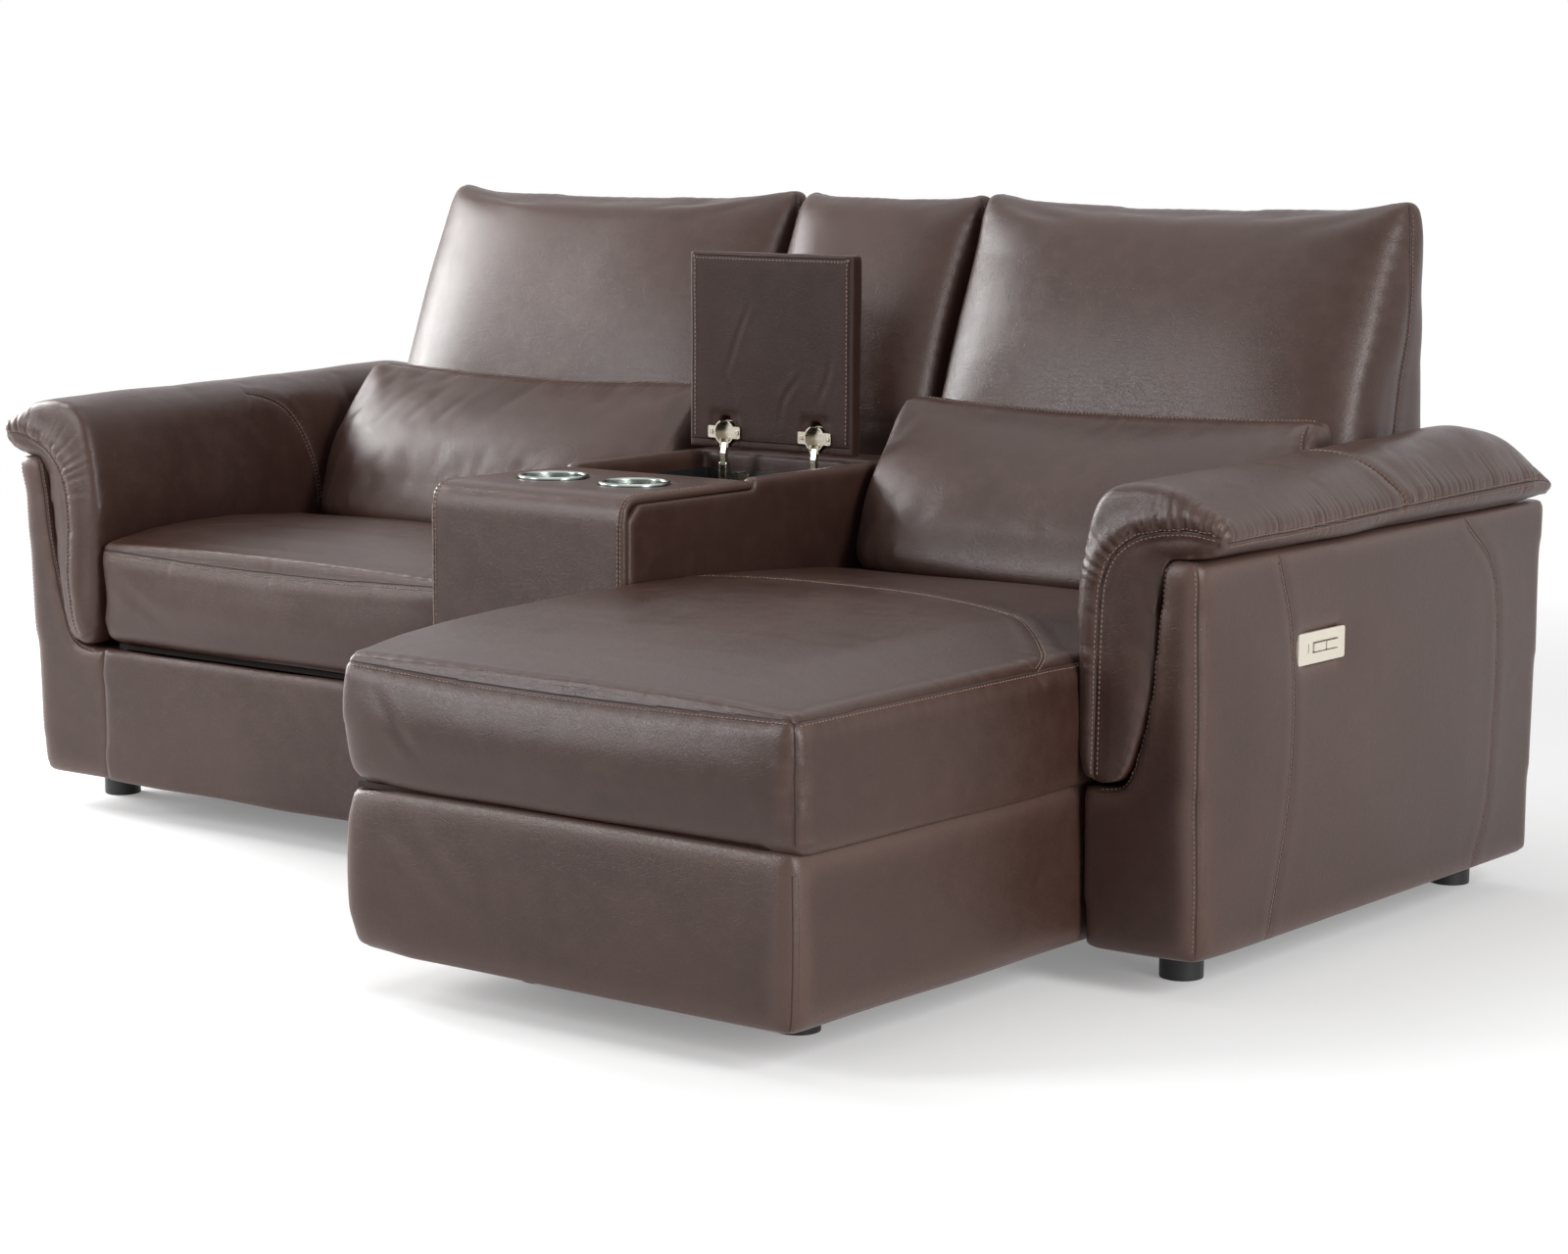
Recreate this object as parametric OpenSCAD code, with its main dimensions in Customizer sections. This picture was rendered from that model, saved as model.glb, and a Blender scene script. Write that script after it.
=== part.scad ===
// Reclining sectional sofa: a recliner seat, a console with cup holders and a storage box,
// and a chaise, joined in one row between two arms.
// +X runs along the row, +Y to the back, +Z up. The origin is the middle of the footprint.

/* [Layout] */
// Width of the recliner seat
seat_w = 725; // [620:1:820]
// Width of the console
console_w = 350; // [330:1:400]
// Width of the chaise seat
chaise_w = 700; // [620:1:820]
// Width of each arm at its front
arm_w = 165; // [150:1:190]
// How much narrower each arm is at the rear
arm_taper = 13; // [0:1:20]
// How far the outer face of the arms leans out at its top
arm_lean = 8; // [0:1:12]
// How far the arm pads reach past the outer face of the arms
pad_over = 40; // [30:1:50]
// Depth of the seats from their front face to the foot of the rear panels
body_d = 905; // [880:1:960]
// How far the chaise reaches in front of the recliner seat
chaise_reach = 564; // [450:1:650]
// How far the console reaches in front of the recliner seat
console_reach = 32; // [10:1:60]
// How far the arms stand back from the seat front
arm_set = 18; // [10:1:30]
// How far an arm's front leans forward at its top
front_lean = 26; // [0:2:30]
// Half of the gap between neighbouring modules
gap = 1; // [0.5:0.5:2]

/* [Heights] */
// Height of the feet, which is the gap under the sofa
foot_h = 50; // [40:1:80]
// Top of the base boxes and of the footrest panel
base_top = 262; // [250:1:290]
// Height of the sewn edge along the front of the seats
seat_seam = 410; // [395:1:440]
// Rise of the crowned seat above its sewn edge
seat_crown = 30; // [15:1:35]
// Top of the rim round the storage box
console_h = 570; // [550:1:620]
// Thickness of the padded cover on the front and top of the console
cover_t = 12; // [8:1:16]
// Top of the outer arm panels
arm_h = 545; // [520:1:570]
// Top of the arm pads at the front
pad_h = 628; // [600:1:660]
// Rise of the arm pads from front to rear
pad_rise = 22; // [0:1:30]
// Drop of an arm pad's top towards its rear end
pad_drop = 48; // [0:2:56]
// Top corners of the back cushions
back_h = 948; // [900:1:1000]
// Top edge of the lumbar cushions
lumbar_h = 662; // [640:1:690]

/* [Backs] */
// Depth of the seat in front of the lumbar cushion
seat_d = 415; // [400:1:450]
// Run of the lumbar cushion from its front to its top edge
lumbar_run = 185; // [160:1:200]
// Set-back of the upper cushion behind the top edge of the lumbar cushion
upper_set = 67; // [55:1:80]
// Lean of the upper cushion's face from the vertical
back_lean = 24; // [20:0.5:26]
// How far the reclining backs are wider than their seats, over the arms
back_over = 12; // [6:1:14]
// Thickness of the back frames
frame_t = 60; // [50:1:70]
// Lean of the rear cover, forwards
rear_lean = 6.5; // [4:0.5:8]
// Height of the fixed rear panels
rear_panel_h = 338; // [320:1:345]
// Thickness of the board in the base boxes
board = 18; // [15:1:22]

/* [Arm cut] */
// Width of the outer arm panel at its top
arm_rim = 46; // [40:1:55]
// Height of the floor of the curved cut that holds the arm pad
cut_floor = 256; // [240:1:262]

/* [Storage box] */
// Clear width of the storage box
box_w = 306; // [280:1:310]
// Front edge of the box opening, from the seat front
box_y = 250; // [240:1:262]
// Length of the lid
lid_l = 290; // [280:1:298]
// Thickness of the lid
lid_t = 24; // [23:1:26]
// Clearance round the closed lid
lid_gap = 3; // [2:0.5:5]
// Depth of the plastic bin
bin_depth = 142; // [100:1:180]
// Wall of the plastic bin
bin_wall = 2.5; // [2:0.5:4]

/* [Cup holders] */
// Inner radius of a cup holder
cup_r = 43; // [38:1:46]
// Outer radius of its rim
cup_rim_r = 50; // [48:1:52]
// Depth of a cup holder
cup_depth = 70; // [50:1:80]
// Distance between the two cup holders
cup_pitch = 148; // [130:1:160]
// Distance of the cup holders behind the seat front
cup_y = 112; // [80:1:140]

/* [Lid hinges] */
// Distance between the two hinges
hinge_pitch = 168; // [140:1:190]
// Radius of the hinge cup
hcup_r = 17.5; // [15:0.5:18]
// Depth of the hinge cup
hcup_depth = 13; // [12.5:0.5:14]
// Width of the flange plate
flange_w = 60; // [56:1:66]
// Height of the flange plate
flange_h = 18; // [16:1:24]
// Radius of the hinge pins
hpin_r = 2; // [1.5:0.1:2.5]
// Height of the open lid above the console top
lid_lift = 8; // [6:0.5:10]
// Gap between the open lid and the rear wall of the box
lid_back = 18; // [17:0.5:19]
// Height of the closed lid above the rim of the box
lid_proud = 3; // [2:0.5:4]

/* [Footrest linkage] */
// Distance between the end pins of each crossing link
link_l = 165; // [160:1:168]
// Width of the links
link_w = 22; // [18:1:24]
// Thickness of the links
link_t = 4; // [3:0.5:5]
// Radius of the link pins
pin_r = 5; // [4:0.5:5.5]
// Running clearance round pins and rods
run = 0.08; // [0.05:0.01:0.1]
// Slope of the folded links
fold_a = 75; // [74.5:0.5:77]
// Angle through which the links open out
open_a = 60; // [56:1:61]
// Angle by which the opened linkage is lifted
lift_a = 12; // [10:0.5:13]
// Distance of the torque tube behind the seat front
tube_y = 135; // [132:1:138]
// Height of the torque tube
tube_z = 222; // [219:1:223]
// Outer radius of the torque tube
tube_r = 12; // [10:0.5:14]
// Length of the crank on the torque tube
crank_l = 60; // [55:1:64]

/* [Recline] */
// Distance of the back pivots behind the front of the lumbar cushion
pivot_y = 145; // [135:1:160]
// Distance of the back pivots below the sewn edge of the seat
pivot_drop = 10; // [5:1:16]
// Thickness of the steel side plates
plate_t = 3; // [2.5:0.5:4]
// Angle through which the backs recline
recline_a = 25; // [15:1:26]
// Length of the arm that the back's motor moves
lever_l = 200; // [190:1:208]
// Radius of the actuator rods
rod_r = 8; // [6:0.5:9]
// Outer radius of the actuator tubes
act_r = 17; // [14:0.5:20]

/* [Trim and control] */
// Radius of the feet
foot_r = 28; // [22:1:32]
// Length of the switch plate
switch_l = 116; // [100:1:130]
// Height of the switch plate
switch_h = 40; // [36:1:46]
// Middle of the switch plate, from the seat front
switch_y = 288; // [250:1:350]
// Middle of the switch plate above the floor
switch_z = 413; // [380:1:430]
// Travel of a switch key
key_travel = 1.5; // [1:0.1:2]

/* [Hidden] */

// Small amounts that keep cuts and joins clean
eps = 1;
seat_clear = 0.3;
fine = 48;

// Places along the row, from the joint of console and chaise
console_x = -console_w;
left_x = -console_w - seat_w;
row_shift = [(console_w + seat_w - chaise_w) / 2, (chaise_reach - arm_rear_y(arm_h)) / 2, 0];

// Rows of feet under the arms and the console
foot_near = 146;
foot_far = body_d - 40;

// Section of the backs, in the plane of Y and Z
pivot = [seat_d + pivot_y, seat_seam - pivot_drop];
lumbar_top_y = seat_d + lumbar_run;
rear_y = body_d - 32;
rear_turn_z = lumbar_h - 25;
seat_rear = pivot[0] - 60;
seat_top = seat_seam + seat_crown;
cushion_base = seat_top + 6;

// The slope of the upper cushion's face, of the rear cover and of the arm's rear edge
function face_y(z) = lumbar_top_y + upper_set + (z - lumbar_h - 10) * tan(back_lean);
function cover_y(z) = rear_y - max(0, z - rear_turn_z) * tan(rear_lean);
function frame_y(z) = cover_y(z) - frame_t - max(0, lumbar_h - z) * 0.28;
function arm_rear_y(z) = body_d + (z - foot_h) * 0.05;

// Outline helpers: unit vector, corner rounding, corner cutting and a turn about a point
function unit(v) = v / norm(v);
function turned(p, a) = [p[0] * cos(a) - p[1] * sin(a), p[0] * sin(a) + p[1] * cos(a)];
function rounded(p, steps = 4) = let (m = len(p)) [
    for (i = [0 : m - 1])
        let (
            c = [p[i][0], p[i][1]],
            r = p[i][2],
            before = [p[(i + m - 1) % m][0], p[(i + m - 1) % m][1]],
            after = [p[(i + 1) % m][0], p[(i + 1) % m][1]],
            a = c + unit(before - c) * r,
            b = c + unit(after - c) * r
        )
        for (k = [0 : r > 0 ? steps : 0])
            let (t = k / steps) (1 - t) ^ 2 * a + 2 * t * (1 - t) * c + t ^ 2 * b
];
function cut_corners(p) = let (m = len(p)) [
    for (i = [0 : m - 1])
        let (q = p[(i + 1) % m])
        each [p[i] * 0.75 + q * 0.25, p[i] * 0.25 + q * 0.75]
];
function soft_outline(p) = cut_corners(cut_corners(p));

// Extrusions of a (y, z) outline along X and of an (x, z) outline along Y
module along_x(x0, x1) {
    translate([x0, 0, 0]) rotate([90, 0, 90]) linear_extrude(x1 - x0) children();
}
module along_y(y0, y1) {
    translate([0, y1, 0]) rotate([90, 0, 0]) linear_extrude(y1 - y0) children();
}
module block(x0, x1, y0, y1, z0, z1) {
    translate([x0, y0, z0]) cube([x1 - x0, y1 - y0, z1 - z0]);
}
// Round bar along X, centred on a (y, z) point
module bar_x(x0, x1, at, r) {
    translate([x0, at[0], at[1]]) rotate([0, 90, 0]) cylinder(r = r, h = x1 - x0, $fn = fine);
}
// Everything is drawn from the joint of console and chaise, then moved to the shared origin
module place() {
    translate(row_shift) children();
}
module on_right_arm() {
    translate([chaise_w, 0, 0]) children();
}
module on_left_arm() {
    translate([left_x, 0, 0]) mirror([1, 0, 0]) children();
}

// Closed skin over rings of points, with a fan over each end
module skin(rings) {
    n = len(rings[0]);
    m = len(rings);
    first = [for (k = [0 : 2]) let (v = [for (p = rings[0]) p[k]]) (min(v) + max(v)) / 2];
    last = [for (k = [0 : 2]) let (v = [for (p = rings[m - 1]) p[k]]) (min(v) + max(v)) / 2];
    sides = [
        for (i = [0 : m - 2], j = [0 : n - 1])
            let (a = i * n + j, b = i * n + (j + 1) % n)
            each [[a, a + n, b + n], [a, b + n, b]]
    ];
    caps = [
        for (j = [0 : n - 1])
            let (k = (j + 1) % n, e = (m - 1) * n)
            each [[m * n, j, k], [m * n + 1, e + k, e + j]]
    ];
    polyhedron(concat([for (r = rings) each r], [first, last]), concat(sides, caps));
}
// Cushion swept along X: outline(s) gives (y, z) control points for s from -1 to 1,
// and its sides are drawn in between the top and bottom corners
module cushion(x0, x1, outline, rings = 12, draw = 5) {
    mid = (x0 + x1) / 2;
    half = (x1 - x0) / 2;
    skin([
        for (i = [0 : rings])
            let (
                s = -cos(180 * i / rings),
                ring = soft_outline(outline(s)),
                low = min([for (p = ring) p[1]]),
                high = max([for (p = ring) p[1]])
            )
            [for (p = ring)
                let (v = (2 * p[1] - low - high) / (high - low))
                [mid + s * (half - draw * (1 - v * v)), p[0], p[1]]]
    ]);
}

// Arms

// Section of an arm panel, with the curved cut that the pad lies in
module arm_section() {
    step = (arm_h - cut_floor) / 289;
    polygon(rounded([
        [0, foot_h, 0], [arm_w, foot_h, 8], [arm_w + arm_lean, arm_h, 14],
        [arm_w - arm_rim, arm_h, 12],
        [arm_w * 0.63, cut_floor + 154 * step, 40], [arm_w * 0.53, cut_floor + 70 * step, 30],
        [arm_w * 0.38, cut_floor, 26], [0, cut_floor, 0]
    ]));
}
module arm_shell() {
    deep = body_d + 60;
    difference() {
        intersection() {
            along_y(arm_set - front_lean, deep) arm_section();
            linear_extrude(arm_h + eps) polygon(rounded([
                [0, arm_set - front_lean, 0], [arm_w + arm_lean, arm_set - front_lean, 22],
                [arm_w + arm_lean - arm_taper, deep, 0], [0, deep, 0]
            ]));
            along_x(-eps, arm_w + arm_lean + eps) polygon(rounded([
                [arm_set, foot_h, 0], [arm_rear_y(foot_h), foot_h, 8],
                [arm_rear_y(arm_h), arm_h, 14], [arm_set - front_lean, arm_h, 0]
            ]));
        }
        block(board, arm_w - arm_taper - board, foot_near + 44, foot_far - 44,
            foot_h - eps, cut_floor - board);
    }
}
module left_arm_shell() color("#4e3f3b") on_left_arm() arm_shell();
// Pocket for the switch, cut through the outer face of the right arm
module right_arm_shell() color("#4e3f3b") on_right_arm() difference() {
    arm_shell();
    switch_pocket();
}

// Section of an arm pad at distance y from the seat front; inset draws the ends in. Its
// inner face bulges in front, then stands back where the wider back swings past it
function pad_outline(y, inset) =
    let (
        t = max(0, min(1, (y - arm_set) / (body_d - arm_set))),
        bulge = 11 * max(0, min(1, (seat_d - y) / 70)),
        recess = (back_over + 4) * max(0, min(1, (y - seat_d - 60) / 60)),
        out = arm_w - arm_taper * t + pad_over,
        top = pad_h + pad_rise * t - pad_drop * max(0, (y - 0.76 * body_d) / (0.24 * body_d)) ^ 2,
        under = arm_h + 0.8,
        h = top - under,
        inner = arm_w - arm_rim - 5,
        edge = gap + recess,
        i = inset
    ) [
        [edge + i, cut_floor + 6 + i], [edge + i, seat_seam + 10],
        [edge - bulge + i, seat_top + 30], [edge + 4 - bulge * 0.3 + i, top - 80 - i],
        [edge + 20 + i, top - 8 - i], [edge + 68, top + 7 - i], [arm_w - 28, top + 2 - i],
        [out - 18 - i, under + h * 0.66 - i], [out + 4 - i, under + h * 0.4], [out - 12 - i, under + 10],
        [arm_w - 10, under + i], [inner - 8, under + i],
        [arm_w * 0.63 - 6 - i, cut_floor + 150], [arm_w * 0.53 - 6 - i, cut_floor + 68],
        [arm_w * 0.37 - 4, cut_floor + 6 + i]
    ];
module arm_pad() {
    front = -8;
    back = arm_rear_y(arm_h) - 20;
    stations = [for (k = [0 : 12]) front + (back - front) * (k < 2 ? k * 0.008 : (k - 1) / 11)];
    skin([
        for (k = [0 : 12])
            [for (p = soft_outline(pad_outline(stations[k], k == 0 ? 8 : k == 12 ? 6 : 0)))
                [p[0], stations[k], p[1]]]
    ]);
}
module left_arm_pad() color("#57453f") on_left_arm() arm_pad();
module right_arm_pad() color("#57453f") on_right_arm() arm_pad();

// Recliner seat

// Control points of a crowned seat cushion; s runs from side to side
function seat_outline(front, s) =
    let (c = seat_crown * (1 - s ^ 4), low = base_top + gap) [
        [front + 5, low], [front - 1, (low + seat_seam) / 2], [front - 1, seat_seam - 4],
        [front + 1, seat_seam + 3], [front + 40, seat_seam + c * 0.75 + 4],
        [front + 150, seat_seam + c + 4], [seat_rear - 90, seat_seam + c + 2],
        [seat_rear, seat_seam + c * 0.4], [seat_rear, low], [front + 60, low]
    ];
module left_seat_cushion() color("#52413c") {
    cushion(left_x + gap, console_x - gap, function (s) seat_outline(0, s));
}
// Base side, cut down at the rear where the back swings over it
low_top = base_top - 62;
deck_in = 12;
module base_side(x) {
    y = [40, pivot[0] - 60, pivot[0] - 30, body_d - board - seat_clear];
    top = base_top - 8;
    along_x(x, x + board) polygon([
        [y[0], foot_h], [y[0], top], [y[1], top], [y[2], low_top], [y[3], low_top], [y[3], foot_h]
    ]);
}
module left_base_outer_side() color("#b08d62") base_side(left_x + gap);
module left_base_inner_side() color("#b08d62") base_side(console_x - gap - board);
// Upholstered panel that closes the base at the rear
module rear_panel(x0, x1) {
    along_x(x0, x1) polygon(rounded([
        [body_d - board, foot_h, 0], [body_d, foot_h, 5],
        [body_d, rear_panel_h, 8], [body_d - board, rear_panel_h, 5]
    ]));
}
module left_rear_panel() color("#4e3f3b") rear_panel(left_x + gap, console_x - gap);
// Webbed deck that carries the seat cushion on the two base sides
module seat_deck(x0, x1, y0, y1) {
    rail = 40;
    straps = 5;
    top = base_top;
    difference() {
        block(x0, x1, y0, y1, base_top - 8 + seat_clear, top);
        block(x0 + rail, x1 - rail, y0 + rail, y1 - rail, base_top - 20, top + eps);
    }
    for (k = [0 : straps - 1]) {
        x = x0 + rail + (x1 - x0 - 2 * rail) * (k + 0.5) / straps;
        block(x - 25, x + 25, y0 + rail - eps, y1 - rail + eps, top - 3, top);
    }
}
module left_seat_deck() color("#c9b48f") {
    seat_deck(left_x + gap, console_x - gap, 40, seat_rear);
}

// Recliner mechanism. Each side has a steel plate, then the links that slope down from
// their near end, then the links that slope up; the right side mirrors the left
wall_x = board + gap + seat_clear;
plane_down = plate_t + 2;
plane_up = plane_down + link_t + 2;
module both_sides(x0, x1) {
    translate([x0 + wall_x, 0, 0]) children();
    translate([x1 - wall_x, 0, 0]) mirror([1, 0, 0]) children();
}
tube = [tube_y, tube_z];
// Where a folded link's far end lies from its near end
down = [-cos(fold_a), -sin(fold_a)] * link_l;
up = [-cos(fold_a), sin(fold_a)] * link_l;
cross_near = tube + down / 2;
top_mid = cross_near + up / 2;
low_mid = tube + down;
cross_far = low_mid + up / 2;
panel_pin = low_mid + up;
roller = cross_near - up / 2;
// Path of the roller as the links open out and the linkage is lifted; t runs from 0 to 1
function roller_at(t) = tube - [sin(lift_a * t), cos(lift_a * t)] * link_l
    * sin(fold_a - open_a * t);

// Flat bar between the round eyes at two (y, z) points, drilled at the points in holes
module bar_link(a, b, x0, holes) {
    along = unit(b - a);
    side = [-along[1], along[0]] * (link_w / 2 - 2);
    difference() {
        union() {
            along_x(x0, x0 + link_t) polygon([a + side, a - side, b - side, b + side]);
            bar_x(x0, x0 + link_t, a, link_w / 2);
            bar_x(x0, x0 + link_t, b, link_w / 2);
        }
        for (h = holes) bar_x(x0 - eps, x0 + link_t + eps, h, pin_r + run);
    }
}
// Pin fixed in one link and running in the next; head closes its free end
module link_pin(at, x0, x1) {
    bar_x(x0 + 1, x1, at, pin_r);
    bar_x(x1 - 0.3, x1 + 1.5, at, pin_r + 2.5);
}
// Side plate: carries the torque tube in front and the back pivot on its rear ear, and
// guides the roller of the near links in a curved slot
module side_plate() {
    ear = 22;
    steps = 16;
    slot_r = pin_r + 1;
    left = [for (k = [0 : steps]) roller_at(k / steps) - [slot_r, 0]];
    right = [for (k = [steps : -1 : 0]) roller_at(k / steps) + [slot_r, 0]];
    difference() {
        along_x(0, plate_t) polygon(rounded([
            [tube_y - 30, foot_h + 1, 4], [tube_y - 30, tube_z + 14, 8],
            [pivot[0] - 60, tube_z + 14, 10], [pivot[0] - ear, pivot[1] - 30, 10],
            [pivot[0] - ear, pivot[1] + ear, 16], [pivot[0] + ear, pivot[1] + ear, 16],
            [pivot[0] + ear + 20, tube_z - 30, 20], [pivot[0] + ear, foot_h + 30, 10],
            [pivot[0] - 90, foot_h + 30, 10], [pivot[0] - 160, tube_z - 50, 20],
            [tube_y + 60, tube_z - 50, 30], [tube_y + 30, foot_h + 1, 4]
        ]));
        along_x(-eps, plate_t + eps) polygon(concat(left, right));
        for (t = [0, 1]) bar_x(-eps, plate_t + eps, roller_at(t), slot_r);
    }
}
module recliner_plates() color("#5c6066") both_sides(left_x, console_x) {
    side_plate();
    bar_x(plate_t - eps, plane_down + link_t + 1, tube, pin_r);
    pivot_stud();
}
module pivot_stud() {
    bar_x(plate_t - eps, plate_t * 2 + 3, pivot, pin_r + 1);
    bar_x(plate_t * 2 + 3, plate_t * 2 + 5, pivot, pin_r + 4);
}
module lower_links_near() color("#6d7176") both_sides(left_x, console_x) {
    bar_link(tube, low_mid, plane_down, [tube, low_mid]);
    link_pin(cross_near, plane_down, plane_up + link_t + 0.5);
}
module upper_links_near() color("#7b7f84") both_sides(left_x, console_x) {
    bar_link(roller, top_mid, plane_up, [cross_near]);
    bar_x(0.5, plane_up + eps, roller, pin_r);
    inward_pin(top_mid);
}
// Pin of an upper link that points back to the lower links' plane
module inward_pin(at) {
    translate([plane_up * 2 + link_t, 0, 0]) mirror([1, 0, 0])
        link_pin(at, plane_up, 2 * plane_up + link_t - plane_down + 0.5);
}
module upper_links_far() color("#7b7f84") both_sides(left_x, console_x) {
    bar_link(low_mid, panel_pin, plane_up, [cross_far, panel_pin]);
    inward_pin(low_mid);
}
module lower_links_far() color("#6d7176") both_sides(left_x, console_x) {
    bar_link(top_mid, top_mid + down, plane_down, [top_mid, top_mid + down]);
    link_pin(cross_far, plane_down, plane_up + link_t + 0.5);
}
// Tube that turns both near links, with the slotted crank that the motor pushes
crank_x = (left_x + console_x) / 2;
motor_side = seat_w / 12;
crank_swing = (open_a + lift_a) / 2;
crank_pin = tube + turned([0, -crank_l], crank_swing);
// Cheek of a lever turned by angle a from straight down, with a slot from r0 to r1
module slotted_cheek(x, centre, a, root, r0, r1, slack) {
    w = pin_r + slack;
    difference() {
        along_x(x, x + 3) polygon([for (p = [
            [-tube_r, root], [tube_r, root], [w + 6, -r0], [w + 6, -r1 - w - 6],
            [-w - 6, -r1 - w - 6], [-w - 6, -r0]
        ]) centre + turned(p, a)]);
        along_x(x - eps, x + 3 + eps) polygon([for (p = [
            [-w, w + 1 - r0], [w, w + 1 - r0], [w, -r1 - w], [-w, -r1 - w]
        ]) centre + turned(p, a)]);
    }
}
module torque_tube() color("#44474b") {
    inner = wall_x + plane_down + link_t + seat_clear;
    difference() {
        bar_x(left_x + inner, console_x - inner, tube, tube_r);
        bar_x(left_x + inner - eps, left_x + inner + 2, tube, pin_r + 1);
        bar_x(console_x - inner - 2, console_x - inner + eps, tube, pin_r + 1);
    }
    for (side = [-1, 1])
        slotted_cheek(crank_x - motor_side + side * 6 - 1.5, tube, crank_swing, 0,
            crank_l * cos(crank_swing), crank_l, 2.6);
}
// Upholstered front panel, its board and the steel angles that carry it
panel_pad_t = 20;
panel_board_t = 12;
function panel_outline(s) =
    let (h = base_top - foot_h - 8, z = foot_h + 2, c = 3 * (1 - s ^ 2)) [
        [4, z], [0.5, z + 8], [1.5 - c, z + h * 0.5], [0.5, z + h - 8], [4, z + h],
        [panel_pad_t, z + h], [panel_pad_t, z + h * 0.5], [panel_pad_t, z]
    ];
module left_footrest_pad() color("#52413c") {
    cushion(left_x + gap, console_x - gap, function (s) panel_outline(s), 8, 0);
}
module left_footrest_board() color("#b08d62") {
    block(left_x + wall_x, console_x - wall_x, panel_pad_t + seat_clear,
        panel_pad_t + panel_board_t, foot_h + 10, base_top - 20);
}
module footrest_brackets() color("#5c6066") both_sides(left_x, console_x) {
    y0 = panel_pad_t + panel_board_t + seat_clear;
    x0 = plane_up + link_t + 1.5;
    z = panel_pin[1];
    block(x0, x0 + 25, y0, y0 + 2.5, z - 60, base_top - 24);
    along_x(x0, x0 + plate_t) polygon(rounded([
        [y0, z - 50, 0], [panel_pin[0] + 4, z - 12, 4], [panel_pin[0] + 10, z, 4],
        [panel_pin[0] + 6, z + 11, 4], [y0, z + 14, 0]
    ], 2));
    bar_x(plane_up - 0.5, x0 + eps, panel_pin, pin_r);
    bar_x(plane_up - 1.5, plane_up - 0.5, panel_pin, pin_r + 2.5);
}

// Linear motors, fixed with their axis along Y. The rod slides out of the head of the case

// Case with its head at y = 0 and its tail at -case_l
case_l = 240;
module motor_case() {
    difference() {
        union() {
            translate([0, -case_l + 60, 0]) rotate([-90, 0, 0])
                cylinder(r = act_r, h = case_l - 60, $fn = fine);
            translate([-24, 22 - case_l, -26]) cube([48, 74, 52]);
            translate([0, 59 - case_l, eps - 26]) rotate([180, 0, 0])
                cylinder(r = 24, h = 46, $fn = fine);
            translate([-12, -case_l, -12]) cube([24, 22 + eps, 24]);
        }
        translate([0, 100 - case_l, 0]) rotate([-90, 0, 0])
            cylinder(r = rod_r + run, h = case_l, $fn = fine);
        translate([-20, 11 - case_l, 0]) rotate([0, 90, 0])
            cylinder(r = pin_r + run, h = 40, $fn = fine);
    }
}
// Rod whose cross pin stands reach in front of the head at rest, with the length inside.
// Its flat end runs between the cheeks of a lever
rod_flat = 25;
rod_out = rod_flat + 11;
rod_kept = 46;
module motor_rod(reach, inside) {
    translate([0, -inside, 0]) rotate([-90, 0, 0])
        cylinder(r = rod_r, h = inside + reach - rod_flat, $fn = fine);
    translate([-4, reach - rod_flat - 2, -7]) cube([8, rod_flat + 2, 14]);
    translate([-9, reach, 0]) rotate([0, 90, 0]) cylinder(r = pin_r, h = 18, $fn = fine);
    translate([-4, reach, 0]) rotate([0, 90, 0]) cylinder(r = 7, h = 8, $fn = fine);
}
// Cross rail with the fork that holds the tail of a motor at height z
rail_z = 120;
module motor_fork(x, y, z) {
    for (side = [-1, 1]) block(x + side * 15 - 1.5, x + side * 15 + 1.5, y - 11, y + 11,
        rail_z + 20 - eps, z + 12);
    bar_x(x - 18, x + 18, [y, z], pin_r);
}
module cross_rail(x0, x1, y) {
    block(x0 + wall_x + plate_t + seat_clear, x1 - wall_x - plate_t - seat_clear,
        y - 15, y + 15, rail_z, rail_z + 20);
}
// The footrest's motor lies behind its crank and pushes forward
foot_head = crank_pin[0] + rod_out;
module place_foot_motor() {
    translate([crank_x - motor_side, foot_head, crank_pin[1]]) rotate([0, 0, 180]) children();
}
module footrest_motor() color("#2b2c2e") place_foot_motor() motor_case();
module footrest_motor_rod() color("#c4c7ca") place_foot_motor()
    motor_rod(rod_out, 2 * crank_l * sin(crank_swing) + rod_kept);

// Reclining backs

// Side profile of a back frame with its upholstered rear cover
frame_foot = rear_panel_h + 8;
// Straight front edge of the frame below the lumbar cushion's top
function frame_front(z) = frame_y(frame_foot)
    + (frame_y(lumbar_h) - frame_y(frame_foot)) * (z - frame_foot) / (lumbar_h - frame_foot);
module back_frame_profile() {
    polygon(rounded([
        [frame_y(frame_foot), frame_foot, 6],
        [cover_y(frame_foot), frame_foot, 14],
        [cover_y(rear_turn_z), rear_turn_z, 30],
        [cover_y(back_h - 24), back_h - 24, 16],
        [frame_y(back_h - 24) + 22, back_h - 24, 12],
        [frame_y(lumbar_h) , lumbar_h, 30]
    ]));
}
// The frames stand in from the ends of the cushions by this much
frame_in = 4;
// Wooden back frame: rear skin and ribs round a hollow that faces the cushion. It is
// narrower below, between in0 and in1, where it drops between the arm and the console
module back_frame(x0, x1, in0, in1) {
    low = lumbar_h - 200;
    difference() {
        along_x(x0, x1) back_frame_profile();
        for (x = [[x0 - eps, in0], [in1, x1 + eps]])
            block(x[0], x[1], pivot[0], body_d, foot_h, pivot[1] + 40);
        along_x(x0 + 60, x1 - 60) polygon([
            [frame_y(low) - 40, low], [cover_y(low) - 20, low],
            [cover_y(back_h - 90) - 20, back_h - 90], [frame_y(back_h - 90) - 40, back_h - 90]
        ]);
    }
}
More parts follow.
